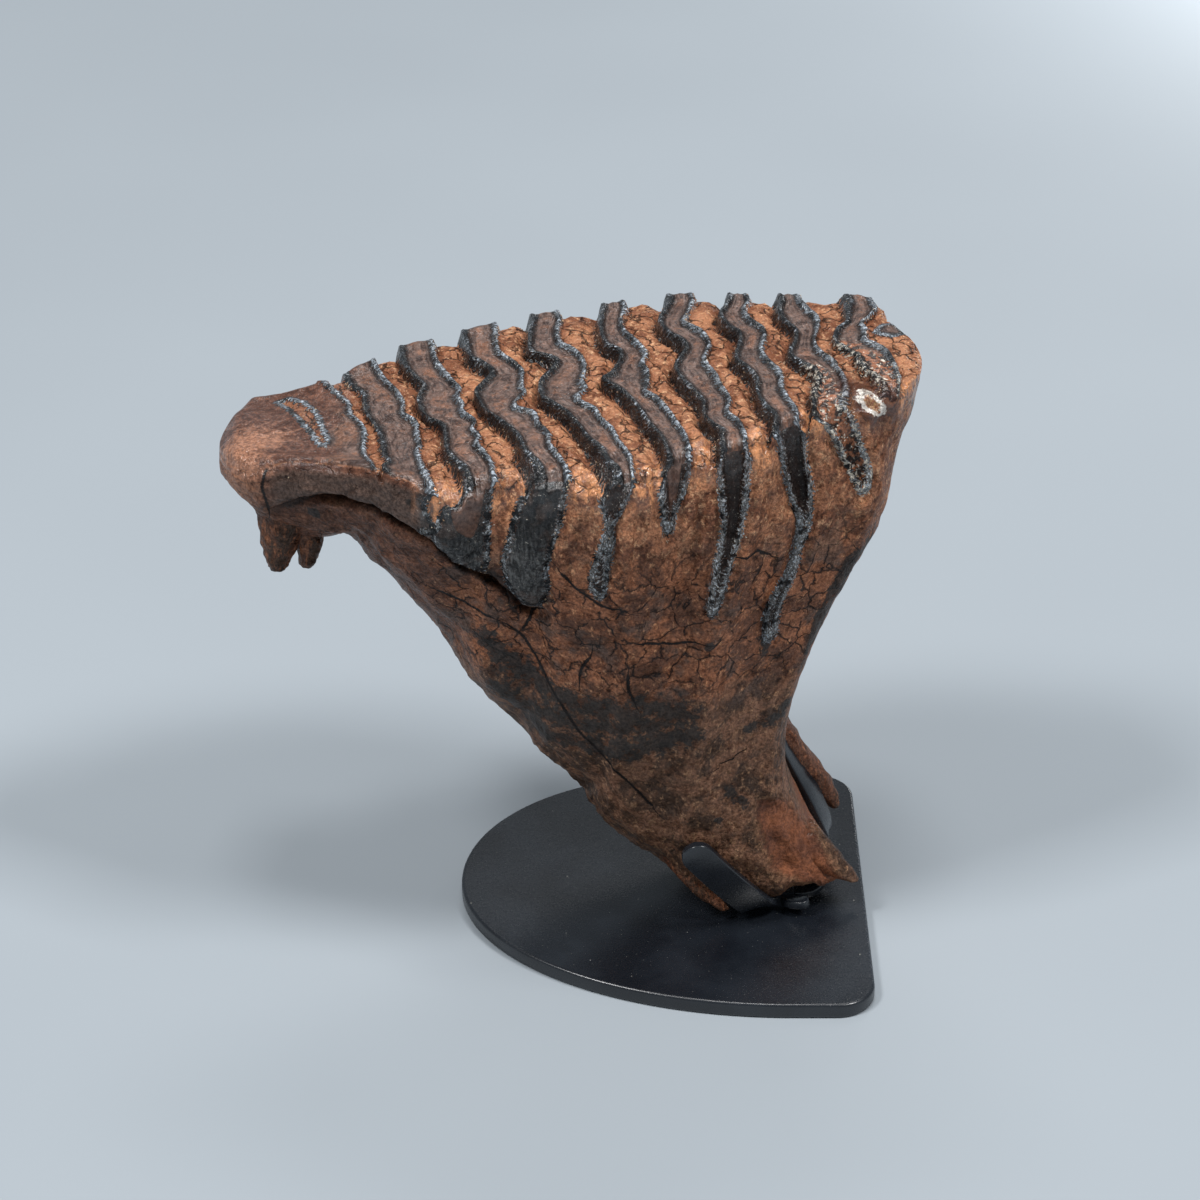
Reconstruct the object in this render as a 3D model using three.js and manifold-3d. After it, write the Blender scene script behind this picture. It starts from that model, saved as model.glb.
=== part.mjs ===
// Fossil mammoth molar held in a cradle of painted steel straps on a base plate.
// Millimetres, +Z up. Origin: centre of the base plate's underside.
// +X runs along the tooth, from the worn front end that overhangs to the back end over the root.

import * as THREE from 'three';
import { mergeVertices } from 'three/addons/utils/BufferGeometryUtils.js';
import Module from 'manifold-3d';

const wasm = await Module();
wasm.setup();

// ---- driving dimensions ----

const plateThickness = 4;
const plateEdgeRound = 0.8;
const gap = 0.3;
const strapWidth = 8;
const strapThickness = 2;
const tabWidth = 4.6;
const hub = { x: 26.5, y: -5.5, length: 12, width: 9, top: 8.2 };

const frontX = -105;
const backX = 60;
const rimRound = 1.6;
const noseRound = 5;

// Crown top, underside and back edge as seen from the side.
const crownTop = through([[-105, 129.5], [-101, 133], [-88, 134.2], [-78, 136], [-60, 138.4],
  [-43, 141], [-10, 144.5], [4, 147], [18, 149], [42, 151], [55, 151], [60, 149.5]]);
const underside = through([[-105, 121], [-101, 114.5], [-96, 108], [-90, 105.5], [-83, 105.5],
  [-76, 107], [-67, 97.5], [-58, 84], [-48.6, 67], [-39, 55], [-29, 42], [-20.7, 30.6], [-10, 19],
  [-2, 13.5], [6, 9.5], [20, 8.8], [36, 9], [41, 12], [52, 11], [60, 13]]);
const backEdge = through([[5, 48], [13, 45.5], [20, 40], [32, 34.5], [47, 31], [53, 30.6], [61, 31.2],
  [70.5, 33], [83, 37], [94, 41.6], [102, 46.2], [113, 51.2], [134, 55.2], [140.5, 57.4], [151, 59]]);

// Half widths toward -Y (near) and +Y (far), at the crown's rim and at the underside.
const nearRim = through([[-105, 17], [-98, 20], [-88, 19.5], [-77, 23], [-61, 34], [-51, 39],
  [-43, 36.5], [-28, 37], [-9, 41], [4, 34], [16, 34], [29, 25], [41, 19], [53, 15], [60, 13]]);
const farRim = through([[-105, 19], [-98, 21], [-80, 20], [-72, 26.5], [-63, 33], [-53, 34.5],
  [-46, 38], [-33, 42], [-16, 44.5], [4, 44], [18, 40], [32, 37], [49, 35], [58, 28]]);
const nearFoot = through([[-105, 8], [-96, 12], [-80, 16], [-60, 18], [-20, 17], [0, 17], [40, 17],
  [60, 14]]);
const farFoot = through([[-105, 8], [-96, 12], [-80, 14], [-40, 14], [0, 14], [40, 12], [60, 9]]);
// The underside is a blunt keel: its sides stand this much over its middle line.
const keelRise = 6;

// Enamel bands: place along the crown at y = 0, and how strongly the shared zigzag shows.
// They come in pairs, the front and the back edge of one plate, from the second one on.
const bands = [[-74.3, -0.7], [-69.9, -0.2], [-62.3, -0.6], [-55.6, 0.6], [-48.5, -0.2], [-40.2, 1.6],
  [-33.1, 0.6], [-25, 1.8], [-18.4, 0.9], [-9.2, 1.3], [-3.5, 0.7], [5.2, 1.1], [11, 0.4],
  [19.2, 0.6], [24.7, 0.2], [31.7, 0], [37.7, -0.3], [44.4, -0.5], [49.9, -1]];
const zigzag = through([[-44, 2.2], [-36, 1.7], [-28, 1.1], [-20, 0.3], [-12, -0.6], [-8, -1.6],
  [-4, -2.5], [0, -2.4], [4, -1.9], [8, -0.4], [12, 1], [15, 1.4], [20, -0.2], [26, -0.8], [32, 0],
  [40, 2.4]]);
const zigzagStrength = through([[-105, 0], [-88, 0], ...bands, [60, 0]]);
const drift = through([[-105, 0], [-96, 9], [-86, 16], [-74, 11.7], [-40, 10], [0, 7.5], [45, 5.5],
  [60, 0]]);

// How far each plate's front edge stands over the cement before it, from plate 1 to plate 9.
const cliffHeights = [0.9, 2.2, 2.6, 3, 3, 3.2, 3, 2.6, 1.6];

// Plate ends that run down the near side: x of the front and back edges against z, lowest last.
const fingers = [
  { out: 2, front: [[145, -46], [138, -48.7], [129, -52], [123, -50], [116, -46]],
    back: [[145, -40], [134, -41], [116, -41.5]] },
  { out: 2.6, front: [[144, -33.3], [128, -35], [118, -37], [112, -37], [105, -32.5]],
    back: [[144, -23], [133, -23.5], [120, -26.6], [105, -29]] },
  { out: 1.3, front: [[148, -17], [134, -15.4], [124, -16.4], [118, -18], [111, -17]],
    back: [[148, -8.5], [134, -10.6], [122, -13.7], [111, -15]] },
  { out: 1.1, front: [[147, -1], [137, -2.4], [126, -0.5]],
    back: [[147, 4.5], [137, 3.3], [126, 0.3]] },
  { out: 1.1, front: [[150, 10.2], [139, 10.9], [126, 11.6], [115, 9.8], [101, 9.4]],
    back: [[150, 17.2], [134, 16.8], [125, 15.5], [108, 12.2], [101, 10.8]] },
  { out: 1.1, front: [[150, 23.5], [139, 24.4], [126, 28], [119, 29.3], [108, 26.3], [97, 22.4]],
    back: [[150, 30], [128, 32], [113, 30.4], [104, 28], [97, 26.8]] },
  { out: 1.1, front: [[146, 37], [136, 40.4], [126, 43.5]],
    back: [[146, 40.6], [139, 43.5], [126, 45.2]] },
].map(({ out, front, back }) => ({
  out,
  front: through([...front].reverse()),
  back: through([...back].reverse()),
  low: front.at(-1)[0],
}));

// On the far side the plates stand out a little, each over this share of the wall's height.
const ribOut = 1.2;
const ribLengths = [0.22, 0.34, 0.42, 0.5, 0.44, 0.52, 0.48, 0.42, 0.3];

// The root's own surface lies back under this line on the near side, below the crown's foot.
const undercut = through([[-90, 122], [-78, 129.5], [-67, 130.5], [-57, 124.5], [-52, 121],
  [-45, 114], [-38, 110], [-31, 104], [-24, 100]]);

// ---- numbers and curves ----

function clamp(t) {
  return Math.min(Math.max(t, 0), 1);
}

function smooth(from, to, t) {
  const u = clamp((t - from) / (to - from));
  return u * u * (3 - 2 * u);
}

function mix(a, b, t) {
  return a + (b - a) * t;
}

// A smooth curve through points sorted by their first number, level beyond its ends.
function through(points) {
  const slope = points.map((_, i) => {
    const before = points[Math.max(i - 1, 0)];
    const after = points[Math.min(i + 1, points.length - 1)];
    return (after[1] - before[1]) / (after[0] - before[0]);
  });
  return (t) => {
    if (t <= points[0][0]) return points[0][1];
    if (t >= points.at(-1)[0]) return points.at(-1)[1];
    const i = points.findIndex((p) => p[0] > t) - 1;
    const [x0, y0] = points[i];
    const [x1, y1] = points[i + 1];
    const u = (t - x0) / (x1 - x0);
    const bend = u * (1 - u) * (x1 - x0);
    return mix(y0, y1, u * u * (3 - 2 * u)) + bend * (slope[i] * (1 - u) - slope[i + 1] * u);
  };
}

// ---- the tooth ----

// Columns run across the crown along the bands; the crown's zigzag at zigzagY carries down the sides.
function warp(column, y, zigzagY) {
  return column - drift(column) * y / 40 + zigzagStrength(column) * zigzag(zigzagY);
}

function rimY(column, rim, side) {
  let y = side * rim(column);
  for (let i = 0; i < 8; i += 1) y = side * rim(warp(column, y, y));
  return y;
}

// Both ends of the tooth are rounded off in plan.
function endRound(column) {
  const front = clamp((column - frontX) / 14);
  const back = clamp((backX - column) / 13);
  return Math.sqrt(1 - (1 - front) ** 2) * Math.sqrt(1 - (1 - back) ** 2);
}

function endY(column, h) {
  return column < 0 ? 0 : mix(3, -8, smooth(0.15, 0.8, h));
}

function edgeY(column, h, rim, foot) {
  const side = Math.sign(rim);
  const spread = mix(rim, side * foot(column), h ** 1.6) + 2 * side * Math.sin(Math.PI * h ** 0.6);
  const blunt = mix(0.62, 0.82, smooth(-5, 15, column));
  const tuck = mix(blunt, 1, Math.sqrt(1 - clamp((h - 0.86) / 0.14) ** 2));
  return mix(endY(column, h), spread * tuck, endRound(column));
}

// The crown's surface across the plates: sharp front edges, hollow plates, low cement between.
function plateProfile() {
  const profile = [[frontX, 0], [-92, 0], [-86.6, 0], [-85.5, 0.9], [-84.4, -0.3], [-82.6, -0.3],
    [-81.5, 0.9], [-80.4, 0]];
  const [firstX] = bands[0];
  profile.push([firstX - 1, 0], [firstX, 0.8], [firstX + 1, -0.4]);
  cliffHeights.forEach((cliff, plate) => {
    const front = bands[2 * plate + 1][0];
    const back = bands[2 * plate + 2][0];
    const size = Math.min(cliff / 3, 1);
    profile.push([front - 1.4, -0.8 * cliff], [front - 0.2, 1.5 * size], [front + 1.1, 0.5 * size]);
    profile.push([(front + back) / 2, -0.4]);
    profile.push([back - 1, -0.2], [back, 0.7], [back + 1.1, -0.6]);
    const next = bands[2 * plate + 3];
    if (next) profile.push([(back + next[0]) / 2, -1.1]);
  });
  profile.push([55, -0.6], [backX, 0]);
  return profile;
}

const profile = plateProfile();
const plateRelief = through(profile);

function plateRibs() {
  const ribs = [[frontX, 0]];
  ribLengths.forEach((_, plate) => {
    const front = bands[2 * plate + 1][0];
    const back = bands[2 * plate + 2][0];
    ribs.push([front - 1.2, 0], [front, 1], [back, 1], [back + 1.2, 0]);
  });
  ribs.push([backX, 0]);
  return through(ribs);
}

const plateRib = plateRibs();
const ribLength = through(ribLengths.map((length, plate) => [bands[2 * plate + 1][0], length]));

function farRelief(column, h) {
  const low = ribLength(column);
  return ribOut * plateRib(column) * smooth(0, 0.05, h) * (1 - smooth(low - 0.15, low + 0.05, h));
}

// Raised plate ends, the undercut and the hollow facet, as a push out of the near side.
function nearRelief(x, z) {
  let push = 0;
  for (const { out, front, back, low } of fingers) {
    const inside = smooth(-1.2, 0.6, Math.min(x - front(z), back(z) - x)) * smooth(low - 3, low + 2, z);
    push = Math.max(push, out * inside);
  }
  const reach = smooth(-96, -84, x) * (1 - smooth(-32, -22, x));
  const below = undercut(x) - z;
  const step = 2.6 * smooth(-1.5, 1.5, below) * (1 - smooth(8, 40, below));
  const facet = 2.4 * Math.exp(-(((x - 31) / 9) ** 2) - ((z - 30) / 13) ** 2);
  return push - reach * step - facet;
}

function toothPoint(column, y, z, zigzagY) {
  const x = warp(column, y, zigzagY);
  return [x > 0 ? x * backEdge(z) / backX : x, y, z];
}

// One closed ring around the tooth: over the crown, down the near side, under and up the far side.
function toothRing(column) {
  const end = endRound(column);
  const round = mix(noseRound, rimRound, smooth(-98, -76, column)) * end;
  const top = crownTop(column);
  const rimZ = top - round;
  const lowZ = underside(column);
  const rise = keelRise * end * (1 - 0.75 * smooth(-10, 10, column));
  const nearTop = rimY(column, nearRim, -1);
  const farTop = rimY(column, farRim, 1);
  const nearY = (h) => edgeY(column, h, nearTop, nearFoot);
  const farY = (h) => edgeY(column, h, farTop, farFoot);
  const ring = [];
  const across = 17;
  for (let i = 0; i < across; i += 1) {
    const v = mix(1, -1, i / across);
    const half = v > 0 ? farTop : -nearTop;
    const lip = Math.max(1.7 * round, 0.5) / half;
    const fade = clamp((Math.abs(v) - 1 + lip) / lip);
    const fall = round * (1 - Math.sqrt(1 - fade ** 2));
    const y = v > 0 ? mix(endY(column, 0), farY(0), v) : mix(endY(column, 0), nearY(0), -v);
    const relief = plateRelief(column) * end * (1 - 0.4 * smooth(0.85, 1, v));
    ring.push(toothPoint(column, y, top + relief - fall, mix(0, y, end)));
  }
  const down = 12;
  for (let i = 0; i < down; i += 1) {
    const h = (i / down) ** 1.25;
    const z = mix(rimZ, lowZ + rise, h) + plateRelief(column) * end * (1 - smooth(0, 0.08, h));
    const point = toothPoint(column, nearY(h), z, nearTop);
    point[1] -= nearRelief(point[0], z) * end * smooth(0, 0.04, h);
    ring.push(point);
  }
  const under = 4;
  for (let i = 0; i < under; i += 1) {
    const t = i / under;
    const keelZ = lowZ + rise * (2 * t - 1) ** 2;
    ring.push(toothPoint(column, mix(nearY(1), farY(1), t), keelZ, t < 0.5 ? nearTop : farTop));
  }
  for (let i = down; i > 0; i -= 1) {
    const h = (i / down) ** 1.25;
    const point = toothPoint(column, farY(h), mix(rimZ, lowZ + rise, h), farTop);
    point[1] += farRelief(column, h) * end;
    ring.push(point);
  }
  return ring;
}

// Closed surface through rings of equal length; each end ring closes on itself or gets a fan.
function skin(rings, capped) {
  const positions = rings.flat(2);
  const count = rings[0].length;
  const index = [];
  for (let r = 0; r + 1 < rings.length; r += 1) {
    for (let i = 0; i < count; i += 1) {
      const a = r * count + i;
      const b = r * count + (i + 1) % count;
      index.push(a, b, a + count, b, b + count, a + count);
    }
  }
  if (capped) {
    const last = (rings.length - 1) * count;
    for (let i = 1; i + 1 < count; i += 1) {
      index.push(0, i + 1, i, last, last + i, last + i + 1);
    }
  }
  const geometry = new THREE.BufferGeometry();
  geometry.setAttribute('position', new THREE.Float32BufferAttribute(positions, 3));
  geometry.setIndex(index);
  return geometry;
}

// Merged corners, no empty triangles, faces outward.
function closed(geometry) {
  const bare = geometry.clone();
  bare.deleteAttribute('normal');
  bare.deleteAttribute('uv');
  const merged = mergeVertices(bare, 1e-4);
  const { array } = merged.getAttribute('position');
  const corner = (i) => new THREE.Vector3().fromArray(array, 3 * i);
  const index = [];
  let volume = 0;
  for (let t = 0; t < merged.index.count; t += 3) {
    const [a, b, c] = [0, 1, 2].map((k) => merged.index.getX(t + k));
    if (a !== b && b !== c && c !== a) {
      index.push(a, b, c);
      volume += corner(a).dot(corner(b).cross(corner(c)));
    }
  }
  if (volume < 0) index.reverse();
  merged.setIndex(index);
  return merged;
}

function solid(geometry) {
  const body = closed(geometry);
  return new wasm.Manifold(new wasm.Mesh({
    numProp: 3,
    vertProperties: new Float32Array(body.getAttribute('position').array),
    triVerts: new Uint32Array(body.index.array),
  }));
}

function surface(body) {
  const { vertProperties, triVerts } = body.getMesh();
  const geometry = new THREE.BufferGeometry();
  geometry.setAttribute('position', new THREE.Float32BufferAttribute(vertProperties, 3));
  geometry.setIndex(Array.from(triVerts));
  geometry.computeVertexNormals();
  return geometry;
}

// A broken stump: an oval spike through stations of [centre, half length, half thickness].
function spike(stations, turn) {
  const sides = 8;
  const rings = stations.map(([[x, y, z], halfLength, halfThickness]) => {
    const ring = [];
    for (let i = 0; i < sides; i += 1) {
      const angle = 2 * Math.PI * i / sides;
      const along = halfLength * Math.cos(angle);
      const out = halfThickness * Math.sin(angle);
      ring.push([x + along * Math.cos(turn) - out * Math.sin(turn),
        y + along * Math.sin(turn) + out * Math.cos(turn), z]);
    }
    return ring;
  });
  return skin(rings, true);
}

const stumps = [
  // two broken root ends under the nose
  spike([[[-90.5, 0, 112], 6, 7], [[-91.6, -1, 103], 5, 5.6], [[-92.4, -2, 98.6], 2.9, 3.8],
    [[-92.6, -2, 95.6], 1.5, 2]], 0),
  spike([[[-84.5, 2, 112], 5, 6], [[-85, 1, 102.5], 4.4, 5], [[-85.4, 0, 98.6], 2.6, 3.4],
    [[-85.6, 0, 95.8], 1.1, 1.6]], 0),
  // the flake along the root's lower front edge
  spike([[[0, -9, 26], 4, 4], [[5, -12.4, 18], 4.2, 3.6], [[11, -14.6, 11.5], 3.6, 2.6],
    [[15.4, -15.6, 7.2], 1.4, 1.2]], 0.2),
  // the rear root, behind the strap
  spike([[[20, 13, 56], 5, 5], [[27, 17.5, 43], 4, 4.6], [[33.6, 19.6, 31], 3.8, 4.4],
    [[39.8, 20.4, 22], 3.4, 3.8], [[43.6, 20.4, 15], 1.8, 2.4]], 0.35),
];

function molarGeometry() {
  const columns = [-105, -104.6, -103.4, -101.4, -99, -96, ...profile.slice(1, -1).map(([x]) => x),
    57, 58.8, 59.7, 60];
  let body = solid(skin(columns.map(toothRing), false));
  for (const stump of stumps) body = body.add(solid(stump));
  return surface(body);
}

// ---- the stand ----

// A D-shaped plate: one straight edge with rounded corners, the rest two quarter ellipses a side.
function plateGeometry() {
  const rightX = 50.8;
  const tipX = -50.8;
  const tipY = 2.85;
  const near = { x: 30.4, radiusX: 81.2, radiusY: 53.7 };
  const far = { x: 6.2, radiusX: 57, radiusY: 48 };
  const corner = 9.5;
  const outline = new THREE.Shape();
  const inset = plateEdgeRound;
  const nearY = tipY - near.radiusY + inset;
  const farY = tipY + far.radiusY - inset;
  const right = rightX - inset;
  const radius = corner - inset;
  outline.moveTo(tipX + inset, tipY);
  outline.absellipse(near.x, tipY, near.radiusX - inset, near.radiusY - inset, Math.PI, Math.PI * 1.5,
    false, 0);
  outline.absarc(right - radius, nearY + radius, radius, -Math.PI / 2, 0, false);
  outline.absarc(right - radius, farY - radius, radius, 0, Math.PI / 2, false);
  outline.absellipse(far.x, tipY, far.radiusX - inset, far.radiusY - inset, Math.PI / 2, Math.PI,
    false, 0);
  const plate = new THREE.ExtrudeGeometry(outline, {
    depth: plateThickness - 2 * plateEdgeRound,
    bevelThickness: plateEdgeRound,
    bevelSize: plateEdgeRound,
    bevelSegments: 1,
    curveSegments: 10,
  });
  return plate.translate(0, 0, plateEdgeRound);
}

// A flat bar bent along a smooth path. Each station: [centre, direction of the bar's width].
// The first end is square, the last end is round.
function strapGeometry(stations, steps, barWidth = strapWidth) {
  const path = new THREE.CatmullRomCurve3(stations.map(([p]) => new THREE.Vector3(...p)));
  const length = path.getLength();
  const widths = stations.map(([, w]) => new THREE.Vector3(...w).normalize());
  const radius = barWidth / 2;
  const places = [];
  for (let i = 0; i <= steps; i += 1) places.push((1 - radius / length) * i / steps);
  for (let i = 1; i <= 5; i += 1) {
    places.push(1 - radius * (1 - Math.sin(Math.PI / 2 * i / 5.4)) / length);
  }
  const rings = places.map((place) => {
    const centre = path.getPointAt(place);
    const tangent = path.getTangentAt(place);
    const along = path.getUtoTmapping(place) * (stations.length - 1);
    const first = Math.min(Math.floor(along), stations.length - 2);
    const width = widths[first].clone().lerp(widths[first + 1], along - first);
    width.addScaledVector(tangent, -width.dot(tangent)).normalize();
    const thick = new THREE.Vector3().crossVectors(tangent, width);
    const past = Math.max(radius - (1 - place) * length, 0);
    const half = Math.sqrt(radius ** 2 - past ** 2);
    return [[1, 1], [-1, 1], [-1, -1], [1, -1]].map(([a, b]) => centre.clone()
      .addScaledVector(width, a * half)
      .addScaledVector(thick, b * strapThickness / 2)
      .toArray());
  });
  return closed(skin(rings, true));
}

function hubGeometry() {
  const height = hub.top - plateThickness;
  return new THREE.BoxGeometry(hub.length, hub.width, height)
    .translate(hub.x, hub.y, plateThickness + height / 2);
}

const paint = { color: 0x232529, roughness: 0.42, metalness: 0.1 };
const fossil = { color: 0x6b4330, roughness: 0.55, metalness: 0 };

function mesh(name, geometry, material) {
  const piece = new THREE.Mesh(geometry, new THREE.MeshStandardMaterial(material));
  piece.name = name;
  return piece;
}

const legZ = hub.top - 0.4 - strapThickness / 2;
const nearFace = hub.y - hub.width / 2;
const backFace = hub.x + hub.length / 2;

const nearStrap = [
  [[24.6, nearFace - gap, legZ], [1, 0, 0]],
  [[24.6, nearFace - 1.6, legZ], [1, 0, 0]],
  [[22.8, -15.6, 8.8], [0.9, 0.1, 0.3]],
  [[19, -19.8, 14.6], [0.78, 0, 0.62]],
  [[13, -22.6, 22.4], [0.76, 0, 0.65]],
  [[5.6, -24.2, 31.6], [0.74, 0, 0.67]],
];

const backStrap = [
  [[backFace + gap, -5.5, legZ], [0, 1, 0]],
  [[backFace + 1.6, -5.5, legZ], [0, 1, 0]],
  [[backFace + 3, -5.3, legZ], [0, 1, 0]],
  [[39.6, -0.5, legZ], [-0.5, 1, 0]],
  [[43, 5.4, 9.4], [-0.2, 1, 0]],
  [[43.9, 7.4, 15], [0.2, 1, 0]],
  [[42.3, 7.9, 20.5], [0.3, 0.95, 0]],
  [[39.1, 8.2, 27.5], [0.35, 0.93, 0]],
  [[35.7, 8.4, 35.5], [0.35, 0.93, 0]],
  [[34.1, 8.4, 43], [0.3, 0.95, 0]],
];

const frontTab = [
  [[31.4, nearFace - gap, legZ - 0.2], [1, 0, 0]],
  [[31.4, nearFace - 1.4, legZ - 0.2], [1, 0, 0]],
  [[33.2, -13.6, legZ], [0.8, 0.5, 0]],
  [[36, -15.2, legZ + 0.2], [0.6, 0.8, 0.1]],
];

const fossilMolar = new THREE.Group();
fossilMolar.add(
  mesh('molar', molarGeometry(), fossil),
  mesh('base_plate', plateGeometry(), paint),
  mesh('cradle_hub', hubGeometry(), paint),
  mesh('near_strap', strapGeometry(nearStrap, 16), paint),
  mesh('back_strap', strapGeometry(backStrap, 20), paint),
  mesh('front_tab', strapGeometry(frontTab, 5, tabWidth), paint),
);

export default fossilMolar;
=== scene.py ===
import math
import bpy
import bmesh
import numpy as np
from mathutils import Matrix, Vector, noise


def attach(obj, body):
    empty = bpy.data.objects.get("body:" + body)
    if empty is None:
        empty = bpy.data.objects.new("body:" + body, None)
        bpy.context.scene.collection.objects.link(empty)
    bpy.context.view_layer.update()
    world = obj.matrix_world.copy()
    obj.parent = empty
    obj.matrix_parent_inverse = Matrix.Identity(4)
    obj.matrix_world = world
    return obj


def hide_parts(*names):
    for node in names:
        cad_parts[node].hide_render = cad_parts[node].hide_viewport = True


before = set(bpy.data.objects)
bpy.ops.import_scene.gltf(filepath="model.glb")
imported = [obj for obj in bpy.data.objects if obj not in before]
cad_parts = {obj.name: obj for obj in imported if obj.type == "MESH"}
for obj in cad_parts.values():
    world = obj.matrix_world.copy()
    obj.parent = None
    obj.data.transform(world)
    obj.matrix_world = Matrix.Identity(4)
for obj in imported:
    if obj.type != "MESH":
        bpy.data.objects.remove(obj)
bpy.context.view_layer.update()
mm = 0.001  # every size below is in millimetres unless it says otherwise

# camera, light and floor

shot = {"place": (-15.757, -693.948, 487.456), "tilt": 60, "lens": 100, "sensor": 36,
        "nearest": 0.05, "farthest": 20}  # the last two in metres
stageLook = {"floorColour": (0.336, 0.371, 0.403), "floorCloud": (0.6, 0.66, 0.7), "cloudSize": 260,
             "cloudShare": 0.06, "floorRough": 0.75, "floorSize": 4000, "worldColour": (0.8, 0.91, 1.0),
             "worldStrength": 0.26}
lamps = {
    "leftSoftbox": {"place": (-1000, -620, 1750), "aim": (0, 0, 70), "size": (420, 420), "power": 22.6},
    "rightSoftbox": {"place": (1000, -480, 1750), "aim": (0, 0, 70), "size": (420, 420), "power": 23},
    "topSoftbox": {"place": (-60, -180, 1900), "aim": (0, 0, 70), "size": (320, 320), "power": 8.4},
    "backSoftbox": {"place": (0, 950, 1500), "aim": (0, 720, 0), "size": (700, 400), "power": 6.6},
    "cornerSoftbox": {"place": (330, 720, 120), "aim": (215, 600, 0), "size": (90, 90), "power": 0.43},
}


def aimed(place, aim):
    return (Vector(aim) - Vector(place)).to_track_quat("-Z", "Y").to_euler()


def makeStage():
    scene = bpy.context.scene
    cameraData = bpy.data.cameras.new("camera")
    cameraData.lens = shot["lens"]
    cameraData.sensor_width = shot["sensor"]
    cameraData.clip_start, cameraData.clip_end = shot["nearest"], shot["farthest"]
    camera = bpy.data.objects.new("camera", cameraData)
    camera.location = Vector(shot["place"]) * mm
    camera.rotation_euler = (math.radians(shot["tilt"]), 0, 0)
    scene.collection.objects.link(camera)
    scene.camera = camera
    for name, lamp in lamps.items():
        data = bpy.data.lights.new(name, "AREA")
        data.shape = "RECTANGLE"
        data.size, data.size_y = lamp["size"][0] * mm, lamp["size"][1] * mm
        data.energy = lamp["power"]
        light = bpy.data.objects.new(name, data)
        light.location = Vector(lamp["place"]) * mm
        light.rotation_euler = aimed(lamp["place"], lamp["aim"])
        scene.collection.objects.link(light)
    world = bpy.data.worlds.new("softRoom")
    world.use_nodes = True
    background = world.node_tree.nodes["Background"]
    background.inputs["Color"].default_value = (*stageLook["worldColour"], 1)
    background.inputs["Strength"].default_value = stageLook["worldStrength"]
    scene.world = world
    scene.view_settings.view_transform = "Standard"
    half = stageLook["floorSize"] / 2 * mm
    floor = meshObject("floor", [(-half, -half, 0), (half, -half, 0), (half, half, 0), (-half, half, 0)],
                       [(0, 1, 2, 3)], smoothed=False)
    return floor


# curves and small helpers

def clamp(t):
    return np.clip(t, 0, 1)


def smooth(low, high, t):
    u = clamp((t - low) / (high - low))
    return u * u * (3 - 2 * u)


def mix(a, b, t):
    return a + (b - a) * t


def through(points):  # a smooth curve through sorted points, level beyond its ends
    xs, ys = np.array(points, float).T
    last = len(xs) - 1
    before, after = np.maximum(np.arange(last + 1) - 1, 0), np.minimum(np.arange(last + 1) + 1, last)
    slope = (ys[after] - ys[before]) / (xs[after] - xs[before])

    def curve(t):
        t = np.clip(np.asarray(t, float), xs[0], xs[-1])
        i = np.clip(np.searchsorted(xs, t, side="right") - 1, 0, last - 1)
        u = (t - xs[i]) / (xs[i + 1] - xs[i])
        bend = u * (1 - u) * (xs[i + 1] - xs[i])
        return mix(ys[i], ys[i + 1], u * u * (3 - 2 * u)) + bend * (slope[i] * (1 - u) - slope[i + 1] * u)
    return curve


def steps(points):  # level at each point, with an even rise between them
    xs, ys = np.array(points, float).T

    def curve(t):
        t = np.clip(np.asarray(t, float), xs[0], xs[-1])
        i = np.clip(np.searchsorted(xs, t, side="right") - 1, 0, len(xs) - 2)
        u = (t - xs[i]) / (xs[i + 1] - xs[i])
        return mix(ys[i], ys[i + 1], u * u * (3 - 2 * u))
    return curve


def softMin(*values, sharp=1.4):
    return -np.log(sum(np.exp(-sharp * np.clip(v, -30, 30)) for v in values)) / sharp


def pathDistance(x, z, points):  # distance to an open line, and how far along it, in its own units
    best = np.full(np.shape(x), 1e9)
    along = np.zeros(np.shape(x))
    side = np.ones(np.shape(x))
    done = 0.0
    for (x0, z0), (x1, z1) in zip(points, points[1:]):
        dx, dz = x1 - x0, z1 - z0
        length = math.hypot(dx, dz)
        t = clamp(((x - x0) * dx + (z - z0) * dz) / length ** 2)
        away = np.hypot(x - x0 - t * dx, z - z0 - t * dz)
        nearer = away < best
        side = np.where(nearer, np.sign((x - x0) * dz - (z - z0) * dx), side)
        along = np.where(nearer, done + t * length, along)
        best = np.minimum(best, away)
        done += length
    return best, along, side


def loopDistance(x, y, points):  # signed distance to a closed outline, positive inside
    away, _, _ = pathDistance(x, y, points + points[:1])
    inside = np.zeros(np.shape(x), bool)
    for (x0, y0), (x1, y1) in zip(points, points[1:] + points[:1]):
        crosses = (y0 > y) != (y1 > y)
        inside ^= crosses & (x < (x1 - x0) * (y - y0) / (y1 - y0 + 1e-12) + x0)
    return np.where(inside, away, -away)


def meshObject(name, verts, faces, smoothed=True):
    mesh = bpy.data.meshes.new(name)
    mesh.from_pydata([tuple(v) for v in verts], [], faces)
    mesh.polygons.foreach_set("use_smooth", [smoothed] * len(mesh.polygons))
    mesh.update()
    piece = bpy.data.objects.new(name, mesh)
    bpy.context.scene.collection.objects.link(piece)
    return piece


def faceOutwards(piece, merged=False):
    work = bmesh.new()
    work.from_mesh(piece.data)
    if merged:
        bmesh.ops.remove_doubles(work, verts=work.verts, dist=1e-6)
        bmesh.ops.dissolve_degenerate(work, edges=work.edges, dist=1e-7)
    bmesh.ops.recalc_face_normals(work, faces=work.faces)
    work.to_mesh(piece.data)
    work.free()


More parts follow.
